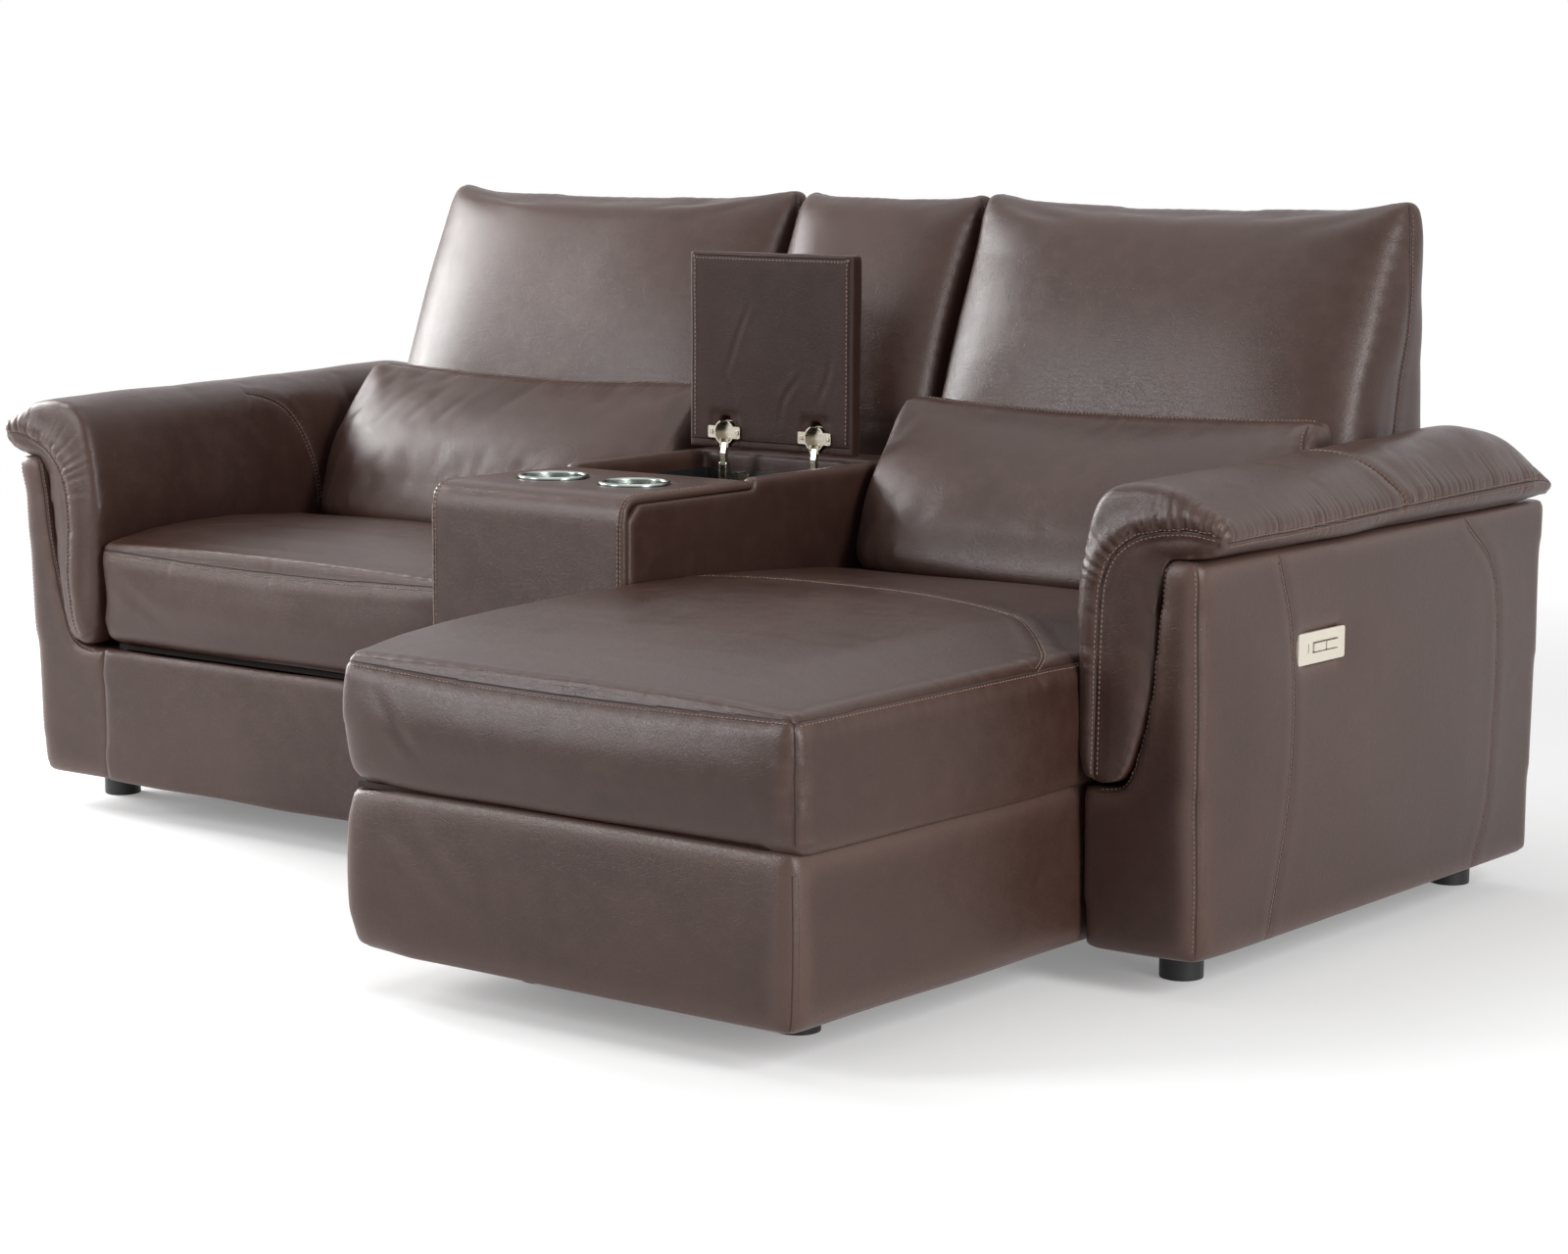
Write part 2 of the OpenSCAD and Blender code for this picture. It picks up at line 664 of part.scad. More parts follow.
// Upper cushion: leaning crowned face, raised corners, flat against the frame
function upper_outline(s, low) =
    let (
        c = 14 * (1 - s ^ 4),
        top = back_h - 10 * (1 - s ^ 4),
        f = function (z) face_y(z) - c,
        r = function (z) frame_y(z) - seat_clear,
        mid = (lumbar_h + back_h) / 2
    ) [
        [face_y(low) + 26, low], [face_y(low) + 8, low + 12], [f(lumbar_h) + 6, lumbar_h],
        [f(mid), mid], [f(back_h - 70), back_h - 70], [f(back_h - 24) + 2, back_h - 20],
        [face_y(back_h) + 12, top + 3], [cover_y(back_h) - 8, top], [cover_y(back_h) - 2, back_h - 20],
        [r(back_h - 24) + 20, back_h - 24 + seat_clear * 2], [r(back_h - 40), back_h - 44],
        [r(mid), mid], [r(lumbar_h) , lumbar_h + 10], [r(low), low]
    ];
module upper_cushion(x0, x1, low = cushion_base) {
    cushion(x0, x1, function (s) upper_outline(s, low), 14, 6);
}
// Lumbar cushion: deep and full at the bottom, with a sagging top edge between its corners
function lumbar_outline(s) =
    let (
        c = 1 - s ^ 4,
        dip = 8 * (1 - s ^ 2),
        tuck = 40 * s ^ 6,
        low = cushion_base,
        rise = lumbar_h - low,
        back = function (z) face_y(z) - 13.7 + 8 * (z - low) / rise
    ) [
        [seat_d + 30 + tuck, low], [seat_d - 6 + tuck * 1.6, low + 26],
        [seat_d + 34 + (1 - c) * 30, low + rise * 0.42],
        [lumbar_top_y - 62 - c * 10, low + rise * 0.76], [lumbar_top_y - 14, lumbar_h - dip],
        [lumbar_top_y + 26, lumbar_h - dip + 2], [back(lumbar_h - 16), lumbar_h - 22],
        [back(low + rise * 0.5), low + rise * 0.5], [back(low), low], [seat_d + 100, low]
    ];
module lumbar_cushion(x0, x1) {
    cushion(x0, x1, function (s) lumbar_outline(s), 12, 8);
}
// Steel plates that hang the frame on its pivots
module back_hinge_plate() {
    x0 = plate_t + 1.5;
    low = rear_panel_h + 14;
    high = seat_seam + 15;
    difference() {
        union() {
            bar_x(x0, x0 + plate_t, pivot, 20);
            along_x(x0, x0 + plate_t) polygon([
                [pivot[0], pivot[1] - 20], [frame_front(low) - seat_clear, low],
                [frame_front(high) - seat_clear, high], [pivot[0], pivot[1] + 20]
            ]);
        }
        bar_x(x0 - eps, x0 + plate_t + eps, pivot, pin_r + 1 + run);
    }
    along_x(x0, x0 + 30) polygon([
        [frame_front(low) - seat_clear, low], [frame_front(high) - seat_clear, high],
        [frame_front(high) - seat_clear - plate_t, high],
        [frame_front(low) - seat_clear - plate_t, low]
    ]);
}
// Slotted lever under the frame, which the motor's rod pulls forward
lever_side = 110;
lever_swing = recline_a / 2;
lever_pin = pivot + turned([0, -lever_l], lever_swing);
module back_lever(x) {
    foot = frame_foot - seat_clear;
    mid = lever_l - 30;
    for (side = [-1, 1]) {
        x0 = x + side * 6 - 1.5;
        slotted_cheek(x0, pivot, lever_swing, -mid, lever_l * cos(lever_swing), lever_l, 1);
        along_x(x0, x0 + 3) polygon([
            pivot + turned([-tube_r, -mid], lever_swing), pivot + turned([tube_r, -mid], lever_swing),
            [frame_y(foot) + 50, foot], [frame_y(foot) + 10, foot]
        ]);
    }
}
module back_hinges(x0, x1) {
    both_sides(x0, x1) back_hinge_plate();
    back_lever((x0 + x1) / 2 + lever_side);
}
// The back's motor lies in front of the lever and pulls forward
back_reach = 2 * lever_l * sin(lever_swing) + 34;
back_head = lever_pin[0] - back_reach;
module place_back_motor(x) {
    translate([x + lever_side, back_head, lever_pin[1]]) children();
}

module left_back_frame() color("#4a3b37") {
    back_frame(left_x - back_over + frame_in, console_x - gap - frame_in, left_x + gap,
        console_x - gap);
}
module left_back_cushion() color("#5a4843") {
    upper_cushion(left_x - back_over, console_x - gap);
}
module left_lumbar_cushion() color("#56443f") {
    lumbar_cushion(left_x + 6, console_x - 6);
}
module left_back_hinges() color("#5c6066") back_hinges(left_x, console_x);
module left_back_motor() color("#2b2c2e") place_back_motor(crank_x) motor_case();
module left_back_motor_rod() color("#c4c7ca") place_back_motor(crank_x)
    motor_rod(back_reach, rod_kept);

// Console

wall = board;
box_rear = box_y + lid_l + 2 * lid_gap + 1;
box_mid = -console_w / 2;
console_rear = lumbar_top_y + 40;
cover_z = console_h - 4;
cover_turn = 22;
module console_body() color("#4e3f3b") {
    x0 = console_x + gap;
    floor_z = foot_h + wall;
    difference() {
        along_x(x0, -gap) polygon([
            [cover_t - console_reach + seat_clear, foot_h],
            [cover_t - console_reach + seat_clear, cover_z - cover_t - cover_turn],
            [cover_t - console_reach + cover_turn, cover_z - cover_t - seat_clear],
            [box_y, cover_z - cover_t - seat_clear], [box_y, console_h],
            [console_rear, console_h], [console_rear, foot_h]
        ]);
        block(x0 + wall, -gap - wall, wall + cover_t - console_reach, console_rear - wall,
            floor_z, console_h - bin_depth - 30);
        block(x0 + wall, -gap - wall, wall + cover_t - console_reach, box_y - 14,
            floor_z, cover_z - cover_t - wall);
        block(box_mid - box_w / 2, box_mid + box_w / 2, box_y, box_rear,
            console_h - bin_depth - 40, console_h + eps);
        for (k = [-1, 1]) translate([box_mid + k * cup_pitch / 2, cup_y, console_h - 70])
            cylinder(r = cup_r + 3, h = 80, $fn = fine);
    }
}
// Padded cover, in one piece down the front and over the top as far as the storage box
module console_cover() color("#4e3f3b") difference() {
    y = -console_reach;
    z = cover_z - cover_t;
    along_x(console_x + gap, -gap) polygon(rounded([
        [y, foot_h, 5], [y, cover_z, 38], [box_y - seat_clear, cover_z, 4],
        [box_y - seat_clear, z, 0], [y + cover_t, z, 24], [y + cover_t, foot_h, 2]
    ], 6));
    for (k = [-1, 1]) translate([box_mid + k * cup_pitch / 2, cup_y, z - 9])
        cylinder(r = cup_r + 3, h = 40, $fn = fine);
}
// Spun cup with a rolled rim that rests on the console top
module cup_holder(k) {
    translate([box_mid + k * cup_pitch / 2, cup_y, cover_z]) rotate_extrude($fn = 72)
        polygon(rounded([
            [0, -cup_depth, 0], [cup_r - 2, -cup_depth, 6], [cup_r + 1.5, -4, 0],
            [cup_r + 1.5, seat_clear, 0], [cup_rim_r, seat_clear, 0], [cup_rim_r, 2.5, 1],
            [cup_rim_r - 3, 4.5, 1.5], [cup_r, 3, 1.5], [cup_r - 3.5, 2 - cup_depth, 6],
            [0, 2 - cup_depth, 0]
        ]));
}
module left_cup_holder() color("#8d938c") cup_holder(-1);
module right_cup_holder() color("#8d938c") cup_holder(1);
module storage_bin() color("#17191b") {
    fit = 0.5;
    x0 = box_mid - box_w / 2 + fit;
    x1 = box_mid + box_w / 2 - fit;
    top = console_h - lid_t - 3;
    difference() {
        block(x0, x1, box_y + fit, box_rear - fit, top - bin_depth + 30, top);
        block(x0 + bin_wall, x1 - bin_wall, box_y + fit + bin_wall, box_rear - fit - bin_wall,
            top - bin_depth + 30 + bin_wall, top + eps);
    }
}
// Fixed middle back, carried by its own frame behind the console
module middle_back_frame() color("#4a3b37") {
    difference() {
        along_x(console_x + gap + frame_in, -gap - frame_in) polygon(rounded([
            [console_rear + seat_clear, foot_h, 0], [body_d, foot_h, 5], [body_d, rear_panel_h, 8],
            [cover_y(rear_panel_h), rear_panel_h + 8, 4],
            [cover_y(rear_turn_z), rear_turn_z, 30], [cover_y(back_h - 24), back_h - 24, 16],
            [frame_y(back_h - 24) + 22, back_h - 24, 12], [frame_y(lumbar_h), lumbar_h, 30],
            [frame_y(console_h), console_h, 0], [console_rear + seat_clear, console_h, 0]
        ]));
        block(console_x + 40, -40, console_rear + 30, foot_far - 44, foot_h - eps, console_h - 40);
    }
}
module middle_back_cushion() color("#5a4843") {
    upper_cushion(console_x + gap, -gap, console_h + 2);
}

// Storage lid, standing open, and its concealed hinges
lid_rear_y = box_rear - lid_back;
lid_face_y = lid_rear_y - lid_t;
lid_z = console_h + lid_lift;
lid_w = box_w - 2 * lid_gap;
lid_skin = 6;
// Pole of the quarter turn between the open lid and the closed lid
closed_rear = box_rear - lid_gap - 1;
pole_sum = closed_rear + lid_z;
pole_diff = console_h + lid_proud - lid_rear_y;
pole = [(pole_sum - pole_diff) / 2, (pole_sum + pole_diff) / 2];
// Pin in the cup. The link from it to the pin on the arm turns a quarter back while the lid
// turns a quarter forward, so the arm's pin mirrors the pole across the path of the cup's pin
cup_pin = [lid_face_y + 2, lid_z + 7];
arm_pin_a = pole + turned(cup_pin - pole, 45) * sqrt(2);
cup_mid = [lid_face_y, lid_z + 24];
notch = 8;
module at_hinges() {
    for (k = [-1, 1]) translate([box_mid + k * hinge_pitch / 2, 0, 0]) children();
}
module lid_board() color("#46372f") difference() {
    along_x(box_mid - lid_w / 2, box_mid + lid_w / 2) polygon(rounded([
        [lid_face_y, lid_z, 3], [lid_rear_y - lid_skin, lid_z, 2],
        [lid_rear_y - lid_skin, lid_z + lid_l, 2], [lid_face_y, lid_z + lid_l, 3]
    ], 2));
    at_hinges() {
        translate([0, cup_mid[0] - eps, cup_mid[1]]) rotate([-90, 0, 0])
            cylinder(r = hcup_r + 0.3, h = hcup_depth + eps + 0.3, $fn = fine);
        block(-notch - 0.5, notch + 0.5, lid_face_y - eps, lid_face_y + 11, lid_z - eps,
            cup_mid[1] + 22.5);
    }
}
// Padded upper face of the lid
module lid_cover() color("#4e3f3b") {
    along_x(box_mid - lid_w / 2, box_mid + lid_w / 2) polygon(rounded([
        [lid_rear_y - lid_skin + seat_clear, lid_z, 0], [lid_rear_y, lid_z, 4],
        [lid_rear_y, lid_z + lid_l, 4], [lid_rear_y - lid_skin + seat_clear, lid_z + lid_l, 0]
    ]));
}
// Hinge cup let into the lid, its flange plate, and the two necks that hold its pin
module lid_hinge_cups() color("#b9b19c") at_hinges() {
    face = lid_face_y - 1.8;
    difference() {
        union() {
            translate([0, lid_face_y - seat_clear, cup_mid[1]]) rotate([-90, 0, 0])
                cylinder(r = hcup_r, h = hcup_depth, $fn = fine);
            along_y(face, lid_face_y - seat_clear) polygon(rounded([
                [-flange_w / 2, cup_mid[1] - flange_h / 2, 3],
                [flange_w / 2, cup_mid[1] - flange_h / 2, 3],
                [flange_w / 2, cup_mid[1] + flange_h / 2, 3],
                [-flange_w / 2, cup_mid[1] + flange_h / 2, 3]
            ]));
            translate([0, face, cup_mid[1]]) rotate([-90, 0, 0])
                cylinder(r = hcup_r + 1, h = 1.5, $fn = fine);
        }
        translate([0, face - eps, cup_mid[1]]) rotate([-90, 0, 0])
            cylinder(r = hcup_r - 1.2, h = hcup_depth + 1.8, $fn = fine);
        block(1 - notch, notch - 1, face - eps, lid_face_y + 10, lid_z - eps, cup_mid[1] + 22);
        for (k = [-1, 1]) translate([k * (flange_w / 2 - 6), face - eps, cup_mid[1]])
            rotate([-90, 0, 0]) cylinder(r = 2.2, h = 10, $fn = 24);
    }
    for (side = [-1, 1]) {
        x = side * (notch - 1.4) - 1.4;
        block(x, x + 2.8, face, lid_face_y + 7, lid_z + 1.5, cup_mid[1] - 10);
    }
    bar_x(1 - notch, notch - 1, cup_pin, hpin_r);
}
module lid_hinge_links() color("#a8a18d") at_hinges() {
    half = 4.5;
    r = 3.6;
    bow = [min(arm_pin_a[0], cup_pin[0]) - 1.5, (arm_pin_a[1] + cup_pin[1]) / 2 + 2];
    difference() {
        union() {
            bar_x(-half, half, arm_pin_a, r);
            bar_x(-half, half, cup_pin, r);
            along_x(-half, half) polygon([
                arm_pin_a - [r, 0], arm_pin_a + [r - 0.2, 0], bow + [r, 0],
                cup_pin + [r - 0.2, 0], cup_pin - [r - 0.2, 0], bow - [2.5, 0]
            ]);
        }
        bar_x(-half - eps, half + eps, arm_pin_a, hpin_r + run);
        bar_x(-half - eps, half + eps, cup_pin, hpin_r + run);
    }
}
// Arm: two ears on the pin, then a channel that runs back to the plate on the box wall
ear_z = console_h - lid_t - 6;
plate_front = box_rear - 8;
module lid_hinge_arms() color("#b3ac99") at_hinges() {
    p = arm_pin_a;
    for (side = [-1, 1]) translate([side * 6 - 1, 0, 0]) along_x(0, 2) polygon(rounded([
        [p[0] - 4, ear_z - 12, 2], [p[0] - 4, p[1] + 4, 2], [p[0] + 4, p[1] + 4, 2],
        [p[0] + 8, ear_z, 2], [plate_front, ear_z, 0], [plate_front, ear_z - 26, 0],
        [p[0] + 16, ear_z - 26, 2]
    ], 2));
    block(-5 - eps, 5 + eps, p[0] + 16, plate_front, ear_z - 26, ear_z - 24);
    bar_x(-7, 7, p, hpin_r);
}
module lid_hinge_plates() color("#b9b19c") at_hinges() {
    rear = box_rear - 0.5 - bin_wall - seat_clear;
    block(-7, 7, plate_front + seat_clear, rear, ear_z - 26, ear_z);
    difference() {
        block(-18, 18, rear - 2, rear, ear_z - 40, ear_z - 2);
        for (k = [-1, 1]) translate([k * 12.5, rear - 5, ear_z - 31]) rotate([-90, 0, 0])
            cylinder(r = 2.2, h = 10, $fn = 24);
    }
}
// Countersunk screw along Y with a cross recess, head at y = 0 facing the front
module hinge_screw(length) {
    difference() {
        rotate([-90, 0, 0]) union() {
            cylinder(r = 3.6, h = 1.2, $fn = 32);
            cylinder(r = 1.9, h = length, $fn = 24);
        }
        for (a = [0, 90]) rotate([0, a, 0]) translate([-0.4, -eps, -2]) cube([0.8, 1.6, 4]);
    }
}
module lid_hinge_screws() color("#8f8a7c") at_hinges() for (k = [-1, 1]) {
    rear = box_rear - 0.5 - bin_wall - seat_clear;
    translate([k * 12.5, rear - 2 - 1.2 - 0.3, ear_z - 31]) hinge_screw(3.4);
}
module lid_cup_screws() color("#8f8a7c") at_hinges() for (k = [-1, 1]) {
    translate([k * (flange_w / 2 - 6), lid_face_y - 1.8 - 1.2 - 0.3, cup_mid[1]]) hinge_screw(3.2);
}

// Chaise

// Open-topped box with a floor; its walls drop at the rear where the back swings over them
base_inset = 6;
module chaise_base() color("#4e3f3b") {
    front = base_inset - chaise_reach;
    right = chaise_w - gap - base_inset;
    drop = pivot[0] - 60;
    difference() {
        union() {
            linear_extrude_from(foot_h, base_top - 8) polygon(rounded([
                [gap, front, 8], [right, front, 8], [right, body_d - eps, 0], [gap, body_d - eps, 0]
            ]));
            rear_panel(gap, right);
        }
        block(gap + board, right - board, front + board, body_d - board,
            foot_h + board, base_top + eps);
        along_x(-eps, chaise_w + eps) polygon([
            [drop, base_top + eps], [drop + 30, low_top], [body_d - board, low_top],
            [body_d - board, base_top + eps]
        ]);
    }
}
module linear_extrude_from(z0, z1) {
    translate([0, 0, z0]) linear_extrude(z1 - z0) children();
}
module chaise_deck() color("#c9b48f") {
    seat_deck(gap + deck_in, chaise_w - gap - base_inset - deck_in,
        base_inset + deck_in - chaise_reach, seat_rear);
}
module chaise_cushion() color("#52413c") {
    cushion(gap, chaise_w - gap, function (s) seat_outline(-chaise_reach, s), 14);
}
// Steel uprights on the base sides that carry the back pivots
module chaise_back_supports() color("#5c6066") both_sides(0, chaise_w - base_inset) {
    ear = 22;
    foot = ear + 24;
    along_x(0, plate_t) polygon(rounded([
        [pivot[0] - foot, foot_h + 30, 10], [pivot[0] - foot, base_top - 20, 10],
        [pivot[0] - ear, pivot[1] - 30, 10], [pivot[0] - ear, pivot[1] + ear, 16],
        [pivot[0] + ear, pivot[1] + ear, 16], [pivot[0] + foot, base_top - 40, 20],
        [pivot[0] + foot, foot_h + 30, 10]
    ]));
    pivot_stud();
}
module chaise_back_frame() color("#4a3b37") {
    back_frame(gap + frame_in, chaise_w + back_over - frame_in, gap, chaise_w - gap);
}
module chaise_back_cushion() color("#5a4843") upper_cushion(gap, chaise_w + back_over);
module chaise_lumbar_cushion() color("#56443f") lumbar_cushion(6, chaise_w - 6);
module chaise_back_hinges() color("#5c6066") back_hinges(0, chaise_w - base_inset);
chaise_mid = (chaise_w - base_inset) / 2;
module chaise_back_motor() color("#2b2c2e") place_back_motor(chaise_mid) motor_case();
module chaise_back_motor_rod() color("#c4c7ca") place_back_motor(chaise_mid)
    motor_rod(back_reach, rod_kept);
// Cross rails with the forks that hold the tails of the three motors
module motor_brackets() color("#5c6066") {
    back_tail = back_head - case_l + 11;
    foot_tail = foot_head + case_l - 11;
    cross_rail(left_x, console_x, back_tail);
    motor_fork(crank_x + lever_side, back_tail, lever_pin[1]);
    cross_rail(left_x, console_x, foot_tail);
    motor_fork(crank_x - motor_side, foot_tail, crank_pin[1]);
    cross_rail(0, chaise_w - base_inset, back_tail);
    motor_fork(chaise_mid + lever_side, back_tail, lever_pin[1]);
}

// Switch on the outer face of the right arm
function arm_face_x(y) = arm_w + arm_lean - arm_taper * (y - arm_set) / (body_d + 60 - arm_set);
switch_x = arm_face_x(switch_y);
module switch_pocket() {
    block(switch_x - 30, switch_x + 10, switch_y - switch_l / 2 + 6, switch_y + switch_l / 2 - 6,
        switch_z - switch_h / 2 + 5, switch_z + switch_h / 2 - 5);
    block(switch_x - 1.5, switch_x + 10, switch_y - switch_l / 2 - 0.5,
        switch_y + switch_l / 2 + 0.5, switch_z - switch_h / 2 - 0.5, switch_z + switch_h / 2 + 0.5);
}
key_w = 28.5;
key_h = 10;
key_gap = 3;
key_mid = switch_y + 9;
key_window = 2 * key_w + key_gap + 4;
key_y = [key_mid - (key_w + key_gap) / 2, key_mid + (key_w + key_gap) / 2];
slot_y = switch_y - 33.5;
module switch_plate() color("#d6d3c6") on_right_arm() difference() {
    translate([switch_x - 1.2, 0, 0]) along_x(0, 4.2) polygon(rounded([
        [switch_y - switch_l / 2, switch_z - switch_h / 2, 4],
        [switch_y + switch_l / 2, switch_z - switch_h / 2, 4],
        [switch_y + switch_l / 2, switch_z + switch_h / 2, 4],
        [switch_y - switch_l / 2, switch_z + switch_h / 2, 4]
    ]));
    block(switch_x - 3, switch_x + 10, key_mid - key_window / 2, key_mid + key_window / 2,
        switch_z - key_h / 2 - 2, switch_z + key_h / 2 + 2);
    block(switch_x - 3, switch_x + 10, slot_y - 1.1, slot_y + 1.1, switch_z - 6, switch_z + 6);
}
module switch_box() color("#2b2c2e") on_right_arm() difference() {
    y = switch_l / 2 - 6 - seat_clear;
    z = switch_h / 2 - 5 - seat_clear;
    block(switch_x - 30 + seat_clear, switch_x - 1.2 - seat_clear, switch_y - y, switch_y + y,
        switch_z - z, switch_z + z);
    block(switch_x - 16, switch_x + 1, key_mid - key_window / 2 - 1, key_mid + key_window / 2 + 1,
        switch_z - key_h / 2 - 4, switch_z + key_h / 2 + 4);
    block(switch_x - 12, switch_x + 1, slot_y - 1.6, slot_y + 1.6, switch_z - 7, switch_z + 7);
}
module switch_key(k) {
    on_right_arm() translate([switch_x - 8, 0, 0]) along_x(0, 12.5) polygon(rounded([
        [key_y[k] - key_w / 2, switch_z - key_h / 2, 1.2], [key_y[k] + key_w / 2, switch_z - key_h / 2, 1.2],
        [key_y[k] + key_w / 2, switch_z + key_h / 2, 1.2], [key_y[k] - key_w / 2, switch_z + key_h / 2, 1.2]
    ], 3));
}
module front_switch_key() color("#e4e1d6") switch_key(0);
module rear_switch_key() color("#e4e1d6") switch_key(1);

// Plates under the modules that hold the row together
module connector_plates() color("#5c6066") {
    for (x = [left_x, console_x, 0, chaise_w]) for (y = [220, body_d - 90])
        block(x - 16, x + 16, y - 30, y + 30, foot_h - 3, foot_h);
}
// Round feet
function foot_places() = let (in = 64, out = 118, mid = 150) [
    [left_x - out, foot_near], [left_x - out, foot_far],
    [chaise_w + in, foot_near], [chaise_w + in, foot_far],
    [console_x / 2, foot_near], [console_x / 2, foot_far],
    [mid, 200 - chaise_reach], [chaise_w - mid, 200 - chaise_reach]
];
module feet() color("#1a1a1a") for (p = foot_places()) translate([p[0], p[1], 0]) {
    rotate_extrude($fn = fine) polygon(rounded([
        [0, 0, 0], [foot_r, 0, 2], [foot_r, foot_h, 0], [0, foot_h, 0]
    ], 2));
}

place() left_arm_shell();
place() right_arm_shell();
place() left_arm_pad();
place() right_arm_pad();
place() left_base_outer_side();
place() left_base_inner_side();
place() left_rear_panel();
place() left_seat_deck();
place() left_seat_cushion();
place() recliner_plates();
place() left_footrest_pad();
place() left_footrest_board();
place() footrest_brackets();
place() torque_tube();
place() lower_links_near();
place() upper_links_near();
place() lower_links_far();
place() upper_links_far();
place() footrest_motor();
place() footrest_motor_rod();
place() left_back_frame();
place() left_back_cushion();
place() left_lumbar_cushion();
place() left_back_hinges();
place() left_back_motor();
place() left_back_motor_rod();
place() console_body();
place() console_cover();
place() left_cup_holder();
place() right_cup_holder();
place() storage_bin();
place() middle_back_frame();
place() middle_back_cushion();
place() lid_board();
place() lid_cover();
place() lid_hinge_cups();
place() lid_hinge_links();
place() lid_hinge_arms();
place() lid_hinge_plates();
place() lid_hinge_screws();
place() lid_cup_screws();
place() chaise_base();
place() chaise_deck();
place() chaise_cushion();
place() chaise_back_supports();
place() chaise_back_frame();
place() chaise_back_cushion();
place() chaise_lumbar_cushion();
place() chaise_back_hinges();
place() chaise_back_motor();
place() chaise_back_motor_rod();
place() switch_plate();
place() switch_box();
place() front_switch_key();
place() rear_switch_key();
place() motor_brackets();
place() connector_plates();
place() feet();
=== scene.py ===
import math

import bmesh
import bpy
import numpy as np
from mathutils import Matrix, Vector
from mathutils.bvhtree import BVHTree
from mathutils.kdtree import KDTree


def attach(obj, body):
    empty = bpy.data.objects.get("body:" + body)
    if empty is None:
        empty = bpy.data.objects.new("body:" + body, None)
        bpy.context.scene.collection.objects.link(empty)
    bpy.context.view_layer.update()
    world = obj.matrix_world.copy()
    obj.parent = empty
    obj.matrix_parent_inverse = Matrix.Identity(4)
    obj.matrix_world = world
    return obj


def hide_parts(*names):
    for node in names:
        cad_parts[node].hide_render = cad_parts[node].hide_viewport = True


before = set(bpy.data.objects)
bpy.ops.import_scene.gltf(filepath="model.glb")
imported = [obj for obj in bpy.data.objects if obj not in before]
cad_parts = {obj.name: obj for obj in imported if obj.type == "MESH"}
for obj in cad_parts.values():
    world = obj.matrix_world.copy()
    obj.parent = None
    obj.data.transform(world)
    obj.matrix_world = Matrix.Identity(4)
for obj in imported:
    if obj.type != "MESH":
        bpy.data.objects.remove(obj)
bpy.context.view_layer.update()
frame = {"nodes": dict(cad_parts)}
nodes = frame["nodes"]
scene = bpy.context.scene
print("frame loaded:", len(nodes), "nodes")

# Measures below are in millimetres, with x = 0 where the console meets the chaise,
# y = 0 at the recliner seat's front and z = 0 on the floor, as they were taken off.
rowShift = (187.5, -182.875, 0.0)


def place(points):
    return (np.asarray(points, float).reshape(-1, 3) + rowShift) / 1000.0


def armPlace(side, points):  # points as (out from the seat module, back, up)
    p = np.asarray(points, float).reshape(-1, 3).copy()
    p[:, 0] = 700 + p[:, 0] if side > 0 else -1075 - p[:, 0]
    return place(p)


def smooth(e0, e1, x):
    t = np.clip((x - e0) / (e1 - e0), 0, 1)
    return t * t * (3 - 2 * t)


# camera, floor and light

view = {"place": (3.21815, -3.777635, 1.06112), "yaw": 37.77, "pitch": 8.13, "roll": 0.24, "lens": 81.585}
studio = {
    "worldLevel": 0.26, "floorSize": 14, "floorLift": 0.22, "whiteFrom": 1.9, "whiteTo": 3.6,
    "lamps": {  # power, size, place and what it is aimed at
        "keyLight": (140, (1.6, 2.4), (-2.6, -4.1, 2.2), (0.1, 0.1, 0.45)),
        "topLight": (27, (3.4, 2.2), (-0.2, 0.2, 3.4), (0.1, 0.1, 0.45)),
        "fillLight": (124, (1.6, 2.4), (4.2, -0.9, 1.7), (0.1, 0.1, 0.45)),
        "rimLight": (110, (0.8, 2.0), (-3.5, 0.15, 1.7), (-0.2, 0.55, 0.75)),
        "edgeLight": (60, (0.5, 1.8), (-3.9, -0.75, 1.5), (0.2, 0.45, 0.8)),
    },
}


def makeCamera():
    yaw, pitch, roll = (math.radians(view[k]) for k in ("yaw", "pitch", "roll"))
    ahead = Vector((-math.sin(yaw) * math.cos(pitch), math.cos(yaw) * math.cos(pitch), -math.sin(pitch)))
    right = Vector((math.cos(yaw), math.sin(yaw), 0))
    up = right.cross(ahead)
    right, up = right * math.cos(roll) + up * math.sin(roll), up * math.cos(roll) - right * math.sin(roll)
    camera = bpy.data.objects.new("camera", bpy.data.cameras.new("camera"))
    turn = Matrix((right, up, -ahead)).transposed().to_4x4()
    camera.matrix_world = Matrix.Translation(view["place"]) @ turn
    camera.data.lens = view["lens"]
    camera.data.sensor_width = 36
    camera.data.clip_end = 60
    scene.collection.objects.link(camera)
    scene.camera = camera


def softbox(name, power, size, at, towards):
    lamp = bpy.data.lights.new(name, "AREA")
    lamp.shape = "RECTANGLE"
    lamp.size, lamp.size_y = size
    lamp.energy = power
    box = bpy.data.objects.new(name, lamp)
    box.location = at
    box.rotation_euler = (Vector(towards) - Vector(at)).to_track_quat("-Z", "Y").to_euler()
    scene.collection.objects.link(box)


def operation(kind, swapped=False):
    def act(self, other):
        a, b = (other, self) if swapped else (self, other)
        return self.shader.node("ShaderNodeMath", {"operation": kind}, {0: a, 1: b})
    return act


